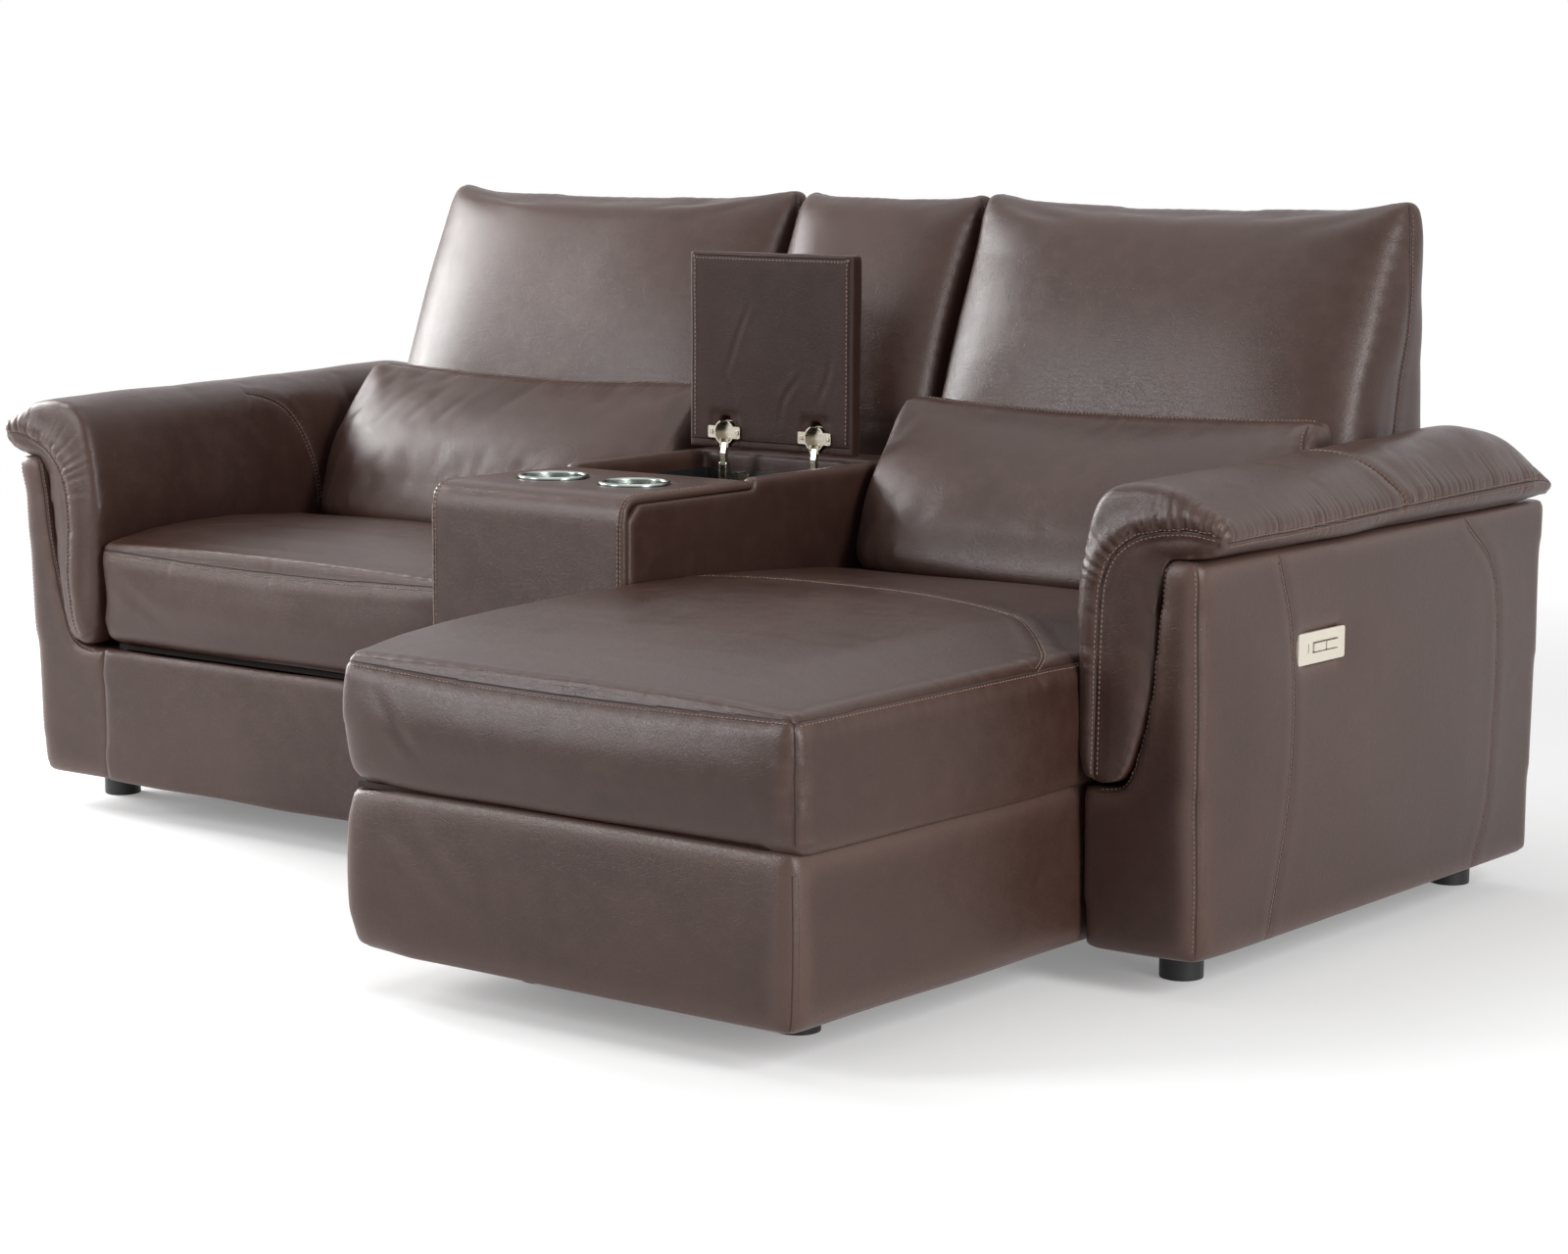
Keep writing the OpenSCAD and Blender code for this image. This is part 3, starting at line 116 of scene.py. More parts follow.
class Socket:  # a node's output, so that sums on it are written as Python
    def __init__(self, shader, link):
        self.shader, self.link = shader, link

    __add__, __radd__ = operation("ADD"), operation("ADD", True)
    __sub__, __rsub__ = operation("SUBTRACT"), operation("SUBTRACT", True)
    __mul__, __rmul__ = operation("MULTIPLY"), operation("MULTIPLY", True)
    __truediv__, __rtruediv__ = operation("DIVIDE"), operation("DIVIDE", True)
    __pow__, most, least = operation("POWER"), operation("MAXIMUM"), operation("MINIMUM")

    def size(self):
        return self.shader.node("ShaderNodeMath", {"operation": "ABSOLUTE"}, {0: self})

    def clip(self):
        return self.most(0.0).least(1.0)

    def bell(self, width):  # 1 on zero, falling off either side
        power = (self / width) ** 2.0 * -1.0
        return self.shader.node("ShaderNodeMath", {"operation": "EXPONENT"}, {0: power})


class Shader:  # the nodes of a material or of the world
    def __init__(self, owner):
        self.owner = owner
        owner.use_nodes = True
        self.tree = owner.node_tree
        self.tree.nodes.clear()

    @property
    def at(self):  # the place on the object itself
        return self.node("ShaderNodeTexCoord", output=3)

    def split(self, vector):
        node = self.node("ShaderNodeSeparateXYZ", {}, {0: vector}).link.node
        return [Socket(self, node.outputs[k]) for k in range(3)]

    def field(self, name):  # the three numbers that sew() keeps on each point
        return self.split(self.node("ShaderNodeAttribute", {"attribute_name": name}, output=1))

    def seen(self):  # 1 for what the camera, a reflection or a clear part shows, 0 for light on the object
        ray = self.node("ShaderNodeLightPath").link.node
        kinds = ("Camera", "Glossy", "Transmission")
        camera, glossy, clear = (Socket(self, ray.outputs["Is %s Ray" % kind]) for kind in kinds)
        return camera.most(glossy).most(clear)

    def node(self, kind, settings=None, inputs=None, output=0):
        made = self.tree.nodes.new(kind)
        for key, value in (settings or {}).items():
            if key == "stops":
                ramp = made.color_ramp
                while len(ramp.elements) < len(value):
                    ramp.elements.new(0.5)
                for element, (at, colour) in zip(ramp.elements, value):
                    element.position, element.color = at, (*colour, 1)
            else:
                setattr(made, key, value)
        for key, value in (inputs or {}).items():
            if isinstance(value, Socket):
                self.tree.links.new(value.link, made.inputs[key])
            else:
                made.inputs[key].default_value = value
        return Socket(self, made.outputs[output])

    def mix(self, factor, a, b):
        a, b = (v if isinstance(v, Socket) else (*v, 1) for v in (a, b))
        settings = {"data_type": "RGBA", "clamp_factor": True}
        return self.node("ShaderNodeMix", settings, {0: factor, 6: a, 7: b}, 2)

    def noise(self, at, scale, detail=3.0, roughness=0.5, distortion=0.0):
        return self.node("ShaderNodeTexNoise", {}, {
            "Vector": at, "Scale": scale, "Detail": detail, "Roughness": roughness, "Distortion": distortion})

    def scaled(self, at, by):
        return self.node("ShaderNodeVectorMath", {"operation": "MULTIPLY"}, {0: at, 1: by})

    def surface(self, colour, roughness, height, strength, distance, more=None):
        bump = self.node("ShaderNodeBump", {}, {"Strength": strength, "Distance": distance, "Height": height})
        return self.finish(self.node("ShaderNodeBsdfPrincipled", {}, {
            "Base Color": colour, "Roughness": roughness, "Normal": bump, **(more or {})}))

    def finish(self, surface, kind="ShaderNodeOutputMaterial"):
        self.tree.links.new(surface.link, self.tree.nodes.new(kind).inputs["Surface"])
        return self.owner


def floorMaterial():
    s = Shader(bpy.data.materials.new("studioFloor"))
    seen = s.seen()
    matt = s.node("ShaderNodeBsdfDiffuse", {}, {"Color": (0.86, 0.86, 0.86, 1), "Roughness": 0.0})
    lift = s.node("ShaderNodeEmission", {}, {"Color": (1, 1, 1, 1), "Strength": seen * studio["floorLift"]})
    near = s.node("ShaderNodeAddShader", {}, {0: matt, 1: lift})
    far = s.node("ShaderNodeEmission", {}, {"Color": (1, 1, 1, 1), "Strength": seen})
    reach = s.node("ShaderNodeVectorMath", {"operation": "LENGTH"}, {0: s.at}, 1)
    away = ((reach - studio["whiteFrom"]) / (studio["whiteTo"] - studio["whiteFrom"])).clip()
    return s.finish(s.node("ShaderNodeMixShader", {}, {0: away, 1: near, 2: far}))


def makeStudio():
    s = Shader(bpy.data.worlds.new("studio"))
    dim = s.node("ShaderNodeBackground", {}, {"Color": (1, 1, 1, 1), "Strength": studio["worldLevel"]})
    white = s.node("ShaderNodeBackground", {}, {"Color": (1, 1, 1, 1), "Strength": 1.0})
    sky = s.node("ShaderNodeMixShader", {}, {0: s.seen(), 1: dim, 2: white})
    scene.world = s.finish(sky, "ShaderNodeOutputWorld")
    for name, row in studio["lamps"].items():
        softbox(name, *row)
    mesh = bpy.data.meshes.new("floor")
    half = studio["floorSize"]
    around = [(-half, -half, 0), (half, -half, 0), (half, half, 0), (-half, half, 0)]
    mesh.from_pydata(around, [], [(0, 1, 2, 3)])
    mesh.materials.append(floorMaterial())
    floor = bpy.data.objects.new("floor", mesh)
    scene.collection.objects.link(floor)


makeCamera()
makeStudio()
scene.view_settings.view_transform = "Standard"
print("camera and studio ready")

# finishes

leatherLook = {
    "deep": (0.034, 0.0150, 0.0110), "plain": (0.058, 0.0285, 0.0220), "pale": (0.112, 0.066, 0.054),
    "roughness": 0.34, "shine": 0.36, "cloudScale": 3.2, "mottleScale": 34.0,
    "grainScale": 480.0, "fineScale": 1500.0, "grainDepth": 0.00020,
    "creaseScale": 26.0, "creaseWidth": 0.012, "creaseDepth": 0.000108, "seamWidth": 0.8, "seamDepth": 0.0011,
}
threadLook = {"colour": (0.235, 0.145, 0.112), "pitch": 0.0062, "length": 0.0047, "radius": 0.00075,
              "row": 0.0042, "lift": 0.0004}


def material(name):
    return Shader(bpy.data.materials.new(name))


def tint(colour, by, add=0.0):
    return tuple(min(1, c * by + add) for c in colour)


def leatherMaterial(name, shade=1.0, gloss=0.0, shine=leatherLook["shine"]):
    s, look = material(name), leatherLook
    at = s.at
    cloudy = s.noise(at, look["cloudScale"], 4.0, 0.55)
    mottled = s.noise(at, look["mottleScale"], 4.0, 0.6)
    pores = s.node("ShaderNodeTexVoronoi", {"feature": "DISTANCE_TO_EDGE"},
                   {"Vector": at, "Scale": look["grainScale"], "Randomness": 0.95})
    fine = s.noise(at, look["fineScale"], 2.0, 0.5)
    creases = s.noise(s.scaled(at, (1.0, 1.0, 1.6)), look["creaseScale"], 3.0, 0.45, 1.4)
    crease = (creases - 0.5).size().bell(look["creaseWidth"])
    offA, maskA, wearAndSheen = s.field("seamA")
    offB, maskB = s.field("seamB")[:2]
    line = (offA.bell(look["seamWidth"]) * maskA).most(offB.bell(look["seamWidth"]) * maskB)
    deep, plain, pale = (tint(look[k], shade) for k in ("deep", "plain", "pale"))
    base = s.mix((cloudy - 0.3) * 2.2, deep, plain)
    base = s.mix((mottled - 0.45) * 1.4, base, plain)
    base = s.mix((wearAndSheen * 0.55 + (mottled - 0.5) * 0.2).clip(), base, pale)  # crests are paler: partly rubbed wear, partly a painted highlight where they stand out towards the light
    base = s.mix((0.06 - pores).clip() * 5.0, base, deep)
    # painted shade: along each seam the colour darkens to a quarter of the deep tone, standing for the shade
    # that falls into its groove
    base = s.mix(line * 0.8, base, tint(deep, 0.25))
    rough = look["roughness"] - gloss + (mottled - 0.5) * 0.16 + (cloudy - 0.5) * 0.12 + line * 0.3
    height = ((pores * 3.0).clip() * 0.7 + fine * 0.3) * look["grainDepth"]
    height = height - crease * look["creaseDepth"] - line * look["seamDepth"]
    return s.surface(base, rough.clip(), height, 0.75, 1.0, {"Specular IOR Level": shine})


def threadMaterial():
    s = material("thread")
    twist = s.noise(s.at, 900.0, 2.0)
    colour = s.mix(twist, tint(threadLook["colour"], 0.7), tint(threadLook["colour"], 1.25))
    return s.surface(colour, 0.6, twist, 0.5, 0.001)


def metalMaterial(name, colour, roughness, brushed=0.0):
    s = material(name)
    smear = s.noise(s.scaled(s.at, (1.0, 1.0, 6.0)), 40.0, 3.0)
    marks = s.noise(s.scaled(s.at, (4.0, 60.0, 60.0)), 22.0, 2.0)
    rough = roughness + (smear - 0.5) * 0.14 + (marks - 0.5) * brushed
    height = smear * 0.6 + marks * (0.3 + brushed)
    return s.surface(s.mix(smear, tint(colour, 0.85), tint(colour, 1.1)), rough.clip(), height, 0.25, 0.0004,
                     {"Metallic": 1.0})


def plasticMaterial(name, colour, roughness):
    s = material(name)
    dust = s.noise(s.at, 9.0, 4.0)
    base = s.mix(dust, tint(colour, 0.85), tint(colour, 1.15, 0.004))
    return s.surface(base, (roughness + (dust - 0.5) * 0.2).clip(), s.noise(s.at, 1100.0, 2.0), 0.35, 0.0003)


def plywoodMaterial():
    s = material("plywood")
    rings = s.node("ShaderNodeTexWave", {"wave_type": "BANDS", "bands_direction": "Z"},
                   {"Vector": s.scaled(s.at, (1.0, 1.6, 9.0)), "Scale": 3.0, "Distortion": 9.0, "Detail": 3.0,
                    "Detail Scale": 0.6})
    fibre = s.noise(s.scaled(s.at, (3.0, 90.0, 90.0)), 6.0, 3.0)
    wood = s.mix(rings * 0.6 + fibre * 0.4, (0.34, 0.205, 0.105), (0.52, 0.355, 0.205))
    return s.surface(wood, 0.7, fibre, 0.4, 0.0006)


def webbingMaterial():
    s = material("webbing")
    ribs, warp = (s.node("ShaderNodeTexWave", {"wave_type": "BANDS", "bands_direction": way},
                         {"Vector": s.at, "Scale": 180.0, "Distortion": 0.4}) for way in "YX")
    weave = ribs * warp
    return s.surface(s.mix(weave, (0.014, 0.008, 0.006), (0.042, 0.024, 0.018)), 0.85, weave, 0.6, 0.0008)


finishes = {
    "leather": leatherMaterial("brownLeather"),
    # painted shade: the lid takes the same leather darkened to two thirds of its colour, to hold down the
    # light its upright face catches
    "lidLeather": leatherMaterial("brownLeatherLidShaded", 0.66, -0.08, 0.14),
    "thread": threadMaterial(),
    "nickel": metalMaterial("nickel", (0.47, 0.43, 0.36), 0.27),
    "chrome": metalMaterial("cupSteel", (0.33, 0.36, 0.335), 0.20),
    "brightSteel": metalMaterial("brightSteel", (0.60, 0.60, 0.60), 0.28, 0.06),
    "darkSteel": metalMaterial("darkSteel", (0.075, 0.078, 0.082), 0.42, 0.05),
    "blackPlastic": plasticMaterial("blackPlastic", (0.012, 0.013, 0.014), 0.42),
    "footPlastic": plasticMaterial("footPlastic", (0.010, 0.010, 0.010), 0.5),
    "ivory": plasticMaterial("satinIvory", (0.62, 0.57, 0.48), 0.34),
    "plywood": plywoodMaterial(),
    "webbing": webbingMaterial(),
}
print("finishes ready")

# leather skins

riders = {}  # stitches wait here until every skin is made, sorted by body


def cadCopy(names):
    bm = bmesh.new()
    for name in names:
        bm.from_mesh(nodes[name].data)
    bmesh.ops.remove_doubles(bm, verts=bm.verts, dist=2e-5)
    mesh = bpy.data.meshes.new("copy")
    bm.to_mesh(mesh)
    bm.free()
    return mesh


def bake(obj):  # the evaluated object as a plain mesh, and its modifiers taken off
    graph = bpy.context.evaluated_depsgraph_get()
    mesh = bpy.data.meshes.new_from_object(obj.evaluated_get(graph))
    mesh.name = obj.name
    obj.modifiers.clear()
    return mesh


def corners(mesh, what="co"):
    values = np.empty(len(mesh.vertices) * 3, np.float32)
    mesh.vertices.foreach_get(what, values)
    return values.reshape(-1, 3).astype(float)


def directions(mesh):
    return corners(mesh, "normal")


def surfaceTree(mesh):  # finds the nearest place on a mesh
    return BVHTree.FromPolygons([v.co for v in mesh.vertices], [p.vertices for p in mesh.polygons])


def setCorners(mesh, co):
    mesh.vertices.foreach_set("co", co.astype(np.float32).ravel())
    mesh.update()


def relax(mesh, co, rounds):  # evens out a net of points along its edges
    ends = np.empty(len(mesh.edges) * 2, np.int32)
    mesh.edges.foreach_get("vertices", ends)
    a, b = ends[0::2], ends[1::2]
    count = np.maximum(np.bincount(a, minlength=len(co)) + np.bincount(b, minlength=len(co)), 1)[:, None]
    for _ in range(rounds):
        total = np.zeros_like(co)
        for k in range(3):
            total[:, k] = np.bincount(a, co[b, k], len(co)) + np.bincount(b, co[a, k], len(co))
        co = co * 0.5 + (total / count) * 0.5
    return co


def relaxed(mesh, co, rounds, share):  # the same, where share is above 0
    share = share[:, None]
    return co * (1 - share) + relax(mesh, co, rounds) * share


def outerShell(mesh):  # drops the pieces of the net that lie inside another
    bm = bmesh.new()
    bm.from_mesh(mesh)
    bm.verts.ensure_lookup_table()
    group = np.full(len(bm.verts), -1)
    spread = []
    for start in bm.verts:
        if group[start.index] >= 0:
            continue
        todo, members = [start], []
        group[start.index] = len(spread)
        while todo:
            v = todo.pop()
            members.append(v.co[:])
            for e in v.link_edges:
                w = e.other_vert(v)
                if group[w.index] < 0:
                    group[w.index] = len(spread)
                    todo.append(w)
        spread.append(np.ptp(np.array(members), axis=0).sum())
    if len(spread) > 1:
        widest = int(np.argmax(spread))
        bmesh.ops.delete(bm, geom=[v for v in bm.verts if group[v.index] != widest], context="VERTS")
        bm.to_mesh(mesh)
    bm.free()


def skinOf(name, sources, voxel, evenRounds):  # an even net over the CAD solids, a little rounded
    mesh = cadCopy(sources)
    solid = surfaceTree(mesh)
    obj = bpy.data.objects.new(name, mesh)
    scene.collection.objects.link(obj)
    remesh = obj.modifiers.new("even", "REMESH")
    remesh.mode = "VOXEL"
    remesh.voxel_size = voxel
    remesh.use_smooth_shade = True
    obj.data = net = bake(obj)
    bpy.data.meshes.remove(mesh)
    outerShell(net)
    setCorners(net, np.array([solid.find_nearest(Vector(p))[0] for p in corners(net)]))
    before = corners(net)
    after = relax(net, before, evenRounds)
    low, size = after.min(0), np.ptp(after, axis=0)
    setCorners(net, (after - low) / size * np.ptp(before, axis=0) + before.min(0))
    return obj


clothJobs = []
cloth = {"steps": 20, "levels": 10, "quality": 4, "mass": 0.4, "pin": 0.35,
         "tension": 22, "shear": 8, "bend": 0.6, "damping": 3}


def puff(obj, pressure, grow, cap, hold):
    # hold gives each point how far it may leave its place, as a share of cap
    share = np.clip(hold(corners(obj.data)), 0, 1)
    group = obj.vertex_groups.new(name="held")
    levels = np.round((1 - share) * cloth["levels"]).astype(int)
    for level in range(1, cloth["levels"] + 1):
        chosen = np.nonzero(levels == level)[0]
        if len(chosen):
            group.add(chosen.tolist(), level / cloth["levels"], "REPLACE")
    stuffing = obj.modifiers.new("stuffing", "CLOTH")
    stuffing.point_cache.frame_start = 1
    stuffing.point_cache.frame_end = cloth["steps"]
    c = stuffing.settings
    c.quality = cloth["quality"]
    c.mass = cloth["mass"]
    c.use_pressure = True
    c.uniform_pressure_force = pressure
    c.effector_weights.gravity = 0
    c.vertex_group_mass = group.name
    c.pin_stiffness = cloth["pin"]
    c.shrink_min = -grow
    c.tension_stiffness = c.compression_stiffness = cloth["tension"]
    c.shear_stiffness = cloth["shear"]
    c.bending_stiffness = cloth["bend"]
    c.air_damping = cloth["damping"]
    clothJobs.append((obj, corners(obj.data), cap * share))


def runCloth():
    for step in range(1, cloth["steps"] + 1):
        scene.frame_set(step)
    for obj, start, limit in clothJobs:
        obj.data = bake(obj)
        move = corners(obj.data) - start
        far = np.linalg.norm(move, axis=1)
        eased = limit * np.tanh(far / np.maximum(limit, 1e-6)) / np.maximum(far, 1e-9)
        setCorners(obj.data, start + move * np.where(far > 1e-9, eased, 0)[:, None])
        obj.vertex_groups.clear()
    scene.frame_set(1)


def denser(obj):
    fine = obj.modifiers.new("fine", "SUBSURF")
    fine.levels = fine.render_levels = 1
    obj.data = bake(obj)


def curveThrough(points, step):  # an even row of points on a smooth curve through a few
    p = np.asarray(points, float)
    p = np.vstack([2 * p[0] - p[1], p, 2 * p[-1] - p[-2]])
    out = []
    for a, b, c, d in zip(p, p[1:], p[2:], p[3:]):
        t = np.linspace(0, 1, max(2, int(np.linalg.norm(c - b) / step)), endpoint=False)[:, None]
        bend, turn = 2 * a - 5 * b + 4 * c - d, 3 * b - a - 3 * c + d
        out.append(0.5 * (2 * b + (c - a) * t + bend * t ** 2 + turn * t ** 3))
    out = np.vstack(out + [p[-2:-1]])
    run = np.concatenate([[0], np.cumsum(np.linalg.norm(np.diff(out, axis=0), axis=1))])
    wanted = np.linspace(0, run[-1], max(4, int(run[-1] / step)))
    return np.column_stack([np.interp(wanted, run, out[:, k]) for k in range(3)])


def evened(line, rounds):
    for _ in range(rounds):
        line[1:-1] = 0.25 * line[:-2] + 0.5 * line[1:-1] + 0.25 * line[2:]
    return line


def onSkin(obj, line, reach):  # lays a line on the surface, with the direction out of it at each point
    tree = surfaceTree(obj.data)
    for _ in range(2):
        spots, outs = [], []
        for p in line:
            hit, normal, _, _ = tree.find_nearest(Vector(p), reach)
            spots.append(hit if hit else Vector(p))
            outs.append(normal if normal else Vector((0, 0, 1)))
        line = evened(np.array([tuple(s) for s in spots]), 6)
    return line, unit(evened(np.array([tuple(n) for n in outs]), 8))


def unit(vectors):
    return vectors / np.maximum(np.linalg.norm(vectors, axis=1), 1e-9)[:, None]


class Seam:
    # where a seam lies on a skin, and for each point of the skin how far off it is and how far along
    def __init__(self, obj, points, fade=0.006, reach=0.12):
        self.line, self.out = onSkin(obj, curveThrough(points, 0.003), reach)
        self.ahead = unit(np.gradient(self.line, axis=0))
        self.side = unit(np.cross(self.ahead, self.out))
        self.length = np.concatenate([[0], np.cumsum(np.linalg.norm(np.diff(self.line, axis=0), axis=1))])
        self.fade = fade

    def measure(self, co, reach):
        tree = KDTree(len(self.line))
        for i, p in enumerate(self.line):
            tree.insert(p, i)
        tree.balance()
        low, high = self.line.min(0) - reach, self.line.max(0) + reach
        off, run, mask = np.full(len(co), 1.0), np.zeros(len(co)), np.zeros(len(co))
        for i in np.nonzero(np.all((co > low) & (co < high), axis=1))[0]:
            _, k, gap = tree.find(co[i])
            if gap > reach:
                continue
            d = co[i] - self.line[k]
            ahead = float(d @ self.ahead[k])
            d = d - self.ahead[k] * ahead
            off[i] = math.copysign(math.sqrt(float(d @ d)), float(d @ self.side[k]) or 1.0)
            run[i] = self.length[k] + ahead
            past = max(-run[i], run[i] - self.length[-1])
            mask[i] = 1 - min(1, max(0, past / self.fade))
        return off, run, mask


def wave(run, pitch, seed):  # uneven folds, -1 to 1, about one to each pitch
    r = np.random.default_rng(seed)
    total = np.zeros_like(run)
    for _ in range(5):
        total += (r.uniform(0.5, 1)
                  * np.sin(run / pitch * 2 * math.pi * r.uniform(0.55, 1.45) + r.uniform(0, 6.28)))
    return total / 2.6


def lumps(co, size, seed, depth):  # soft unevenness of padding under leather
    r = np.random.default_rng(seed)
    total = np.zeros(len(co))
    for _ in range(14):
        k = r.normal(size=3)
        k *= 2 * math.pi / (size * r.uniform(0.6, 1.8)) / np.linalg.norm(k)
        total += np.sin(co @ k + r.uniform(0, 6.28))
    return total / 5.3 * depth


def writeField(mesh, name, *numbers):
    attribute = mesh.attributes.new(name, "FLOAT_VECTOR", "POINT")
    attribute.data.foreach_set("vector", np.column_stack(numbers).astype(np.float32).ravel())


def sew(obj, seamsA, seamsB=(), depth=0.0022, width=0.0045, pillow=0.0012, slack=0.0, seed=1):
    # pulls the skin in along its seams and keeps the distance to them for the leather's shader
    mesh = obj.data
    co, no = corners(mesh), directions(mesh)
    shift = np.zeros(len(co))
    fields = []
    for family in (seamsA, seamsB):
        nearOff, nearMask = np.full(len(co), 0.05), np.zeros(len(co))
        for seam in family:
            off, run, mask = seam.measure(co, 0.05)
            gap = np.abs(off)
            shift -= depth * np.exp(-(off / width) ** 2) * mask
            shift += pillow * np.exp(-((gap - 0.017) / 0.011) ** 2) * mask
            if slack:
                shift += (slack * wave(run, 0.021, seed) * np.exp(-(gap / 0.026) ** 1.6)
                          * smooth(0.001, 0.006, gap) * mask)
            mask = mask * (1 - smooth(0.010, 0.014, gap))
            closer = (mask > nearMask * 0.999) & (gap < np.abs(nearOff)) | (nearMask == 0) & (mask > 0)
            nearOff = np.where(closer, off, nearOff)
            nearMask = np.where(closer, mask, nearMask)
        fields.append((nearOff * 1000, nearMask))
    co = co + no * shift[:, None]
    setCorners(mesh, co)
    # how far each point stands out; the shader paints these crests paler, as wear and as a painted highlight
    crest = np.clip(((co - relax(mesh, co, 6)) * no).sum(1) / 0.0011, 0, 1)
    writeField(mesh, "seamA", *fields[0], crest)
    writeField(mesh, "seamB", *fields[1], crest)


def stitch(obj, body, seam, rows=(-1, 1), trim=0.0, row=threadLook["row"]):
    # keeps rows of thread beside a seam, a little above the leather
    keep = (seam.length >= trim) & (seam.length <= seam.length[-1] - trim)
    tree = surfaceTree(obj.data)
    for way in rows:
        spots = []
        for p in seam.line[keep] + seam.side[keep] * way * row:
            hit, normal, _, _ = tree.find_nearest(Vector(p), 0.02)
            spots.append(tuple(hit + normal * threadLook["lift"] if hit else p))
        riders.setdefault(body, []).append(np.array(spots))


def nudge(obj, amount):  # moves every point along its own direction
    setCorners(obj.data, corners(obj.data) + directions(obj.data) * amount[:, None])


def finishSkin(obj, body, replaced, finish="leather"):
    obj.data.materials.clear()
    obj.data.materials.append(finishes[finish])
    obj.data.shade_smooth()
    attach(obj, body)
    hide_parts(*replaced)


# the pieces in leather: each row gives the nodes a piece stands for, its body, the size of
# its net, its stuffing (pressure, growth, most that it may swell) and how full it is, which is not used

def piece(nodes, body, net, even, stuffing=None, fill=None):
    return {"nodes": nodes.split(), "body": body, "net": net, "even": even,
            "stuffing": stuffing, "fill": fill}


pieces = {
    "seatCushion": piece("left_seat_cushion", "sofa", 0.009, 6, (2.2, 0.002, 0.009), 0.75),
    "footrestPad": piece("left_footrest_pad", "footrest_panel", 0.007, 4, (1.0, 0.002, 0.003), 0.7),
    "recliningBack": piece("left_back_cushion left_back_frame", "left_back",
                           0.010, 12, (2.2, 0.002, 0.012), 0.7),
    "recliningLumbar": piece("left_lumbar_cushion", "left_back", 0.009, 4, (2.0, 0.006, 0.010), 0.65),
    "middleBack": piece("middle_back_cushion middle_back_frame", "sofa",
                        0.009, 12, (2.2, 0.002, 0.007), 0.75),
    "chaiseCushion": piece("chaise_cushion", "sofa", 0.009, 8, (2.2, 0.002, 0.009), 0.75),
    "chaiseBack": piece("chaise_back_cushion chaise_back_frame", "chaise_back",
                        0.010, 12, (2.2, 0.002, 0.010), 0.7),
    "chaiseLumbar": piece("chaise_lumbar_cushion", "chaise_back", 0.009, 4, (2.0, 0.002, 0.009), 0.65),
    "leftArmPad": piece("left_arm_pad", "sofa", 0.0062, 6, (1.2, 0.002, 0.003), 0.7),
    "rightArmPad": piece("right_arm_pad", "sofa", 0.0062, 6, (1.2, 0.002, 0.003), 0.7),
    "leftArmPanel": piece("left_arm_shell", "sofa", 0.008, 5),
    "rightArmPanel": piece("right_arm_shell", "sofa", 0.008, 5),
    "chaiseBase": piece("chaise_base", "sofa", 0.009, 10),
    "consoleCover": piece("console_cover", "sofa", 0.0055, 2),
    "consoleBody": piece("console_body", "sofa", 0.0062, 1),
    "lidLeather": piece("lid_board lid_cover", "storage_lid", 0.0036, 2),
}
skins = {name: skinOf(name, row["nodes"], row["net"], row["even"]) for name, row in pieces.items()}
print("leather pieces cut:", sum(len(o.data.vertices) for o in skins.values()), "points")


def holdSides(lo, hi, sides=0.16, under=0.12, rear=0.2):
    # lets the crown rise and keeps the faces that lie against something
    def share(co):
        s = sides + (1 - sides) * smooth(0.004, 0.05, np.minimum(co[:, 0] - lo[0], hi[0] - co[:, 0]))
        s = np.minimum(s, under + (1 - under) * smooth(0.01, 0.06, co[:, 2] - lo[2]))
        return np.minimum(s, rear + (1 - rear) * smooth(0.0, 0.05, hi[1] - co[:, 1]))
    return share


for name, row in pieces.items():
    if row["stuffing"]:
        co = corners(skins[name].data)
        puff(skins[name], *row["stuffing"], holdSides(co.min(0), co.max(0)))
runCloth()
print("stuffing settled")
for name, row in pieces.items():
    if row["stuffing"]:
        setCorners(skins[name].data, relax(skins[name].data, corners(skins[name].data), 3))
        denser(skins[name])
print("skins made denser")


def soften(obj, centre, radius, rounds):  # rounds off one corner more than the rest
    co = corners(obj.data)
    near = np.linalg.norm((co - place([centre])[0]) / (np.asarray(radius) / 1000), axis=1)
    setCorners(obj.data, relaxed(obj.data, co, rounds, smooth(1.0, 0.35, near)))


def raiseTop(obj, wanted, below):  # stretches what lies above a level up to the wanted height
    mesh = obj.data
    co = corners(mesh)
    tree = surfaceTree(mesh)
    lo, hi = co.min(0) + 0.016, co.max(0) - 0.016
    for i in np.nonzero(co[:, 2] > below)[0]:
        x, y = min(max(co[i, 0], lo[0]), hi[0]), min(max(co[i, 1], lo[1]), hi[1])
        hit = tree.ray_cast(Vector((x, y, 2.0)), Vector((0, 0, -1)))[0]
        if hit:
            co[i, 2] = below + (co[i, 2] - below) * (wanted(x, y) - below) / max(hit.z - below, 0.02)
    setCorners(mesh, co)


def heightLine(points):  # heights against y, both in the sofa's own measures
    ys, zs = (np.array(v, float) for v in zip(*points))
    return lambda y: float(np.interp(y * 1000 - rowShift[1], ys, zs)) / 1000


def folds(run, pitch, seed):  # gathers: narrow valleys between broad ridges, no two alike
    r = np.random.default_rng(seed)
    turn = run / pitch
    for k in (0.13, 0.29, 0.61):
        turn = turn + 0.42 * np.sin(run / pitch * k * 2 * math.pi + r.uniform(0, 6.28))
    ridges = np.floor(turn).astype(int)
    table = r.uniform(0.35, 1.0, (512, 2))
    height, length = table[ridges % 512, 0], table[ridges % 512, 1]
    return (np.abs(np.sin(math.pi * turn)) ** 0.65 - 0.55) * height, length


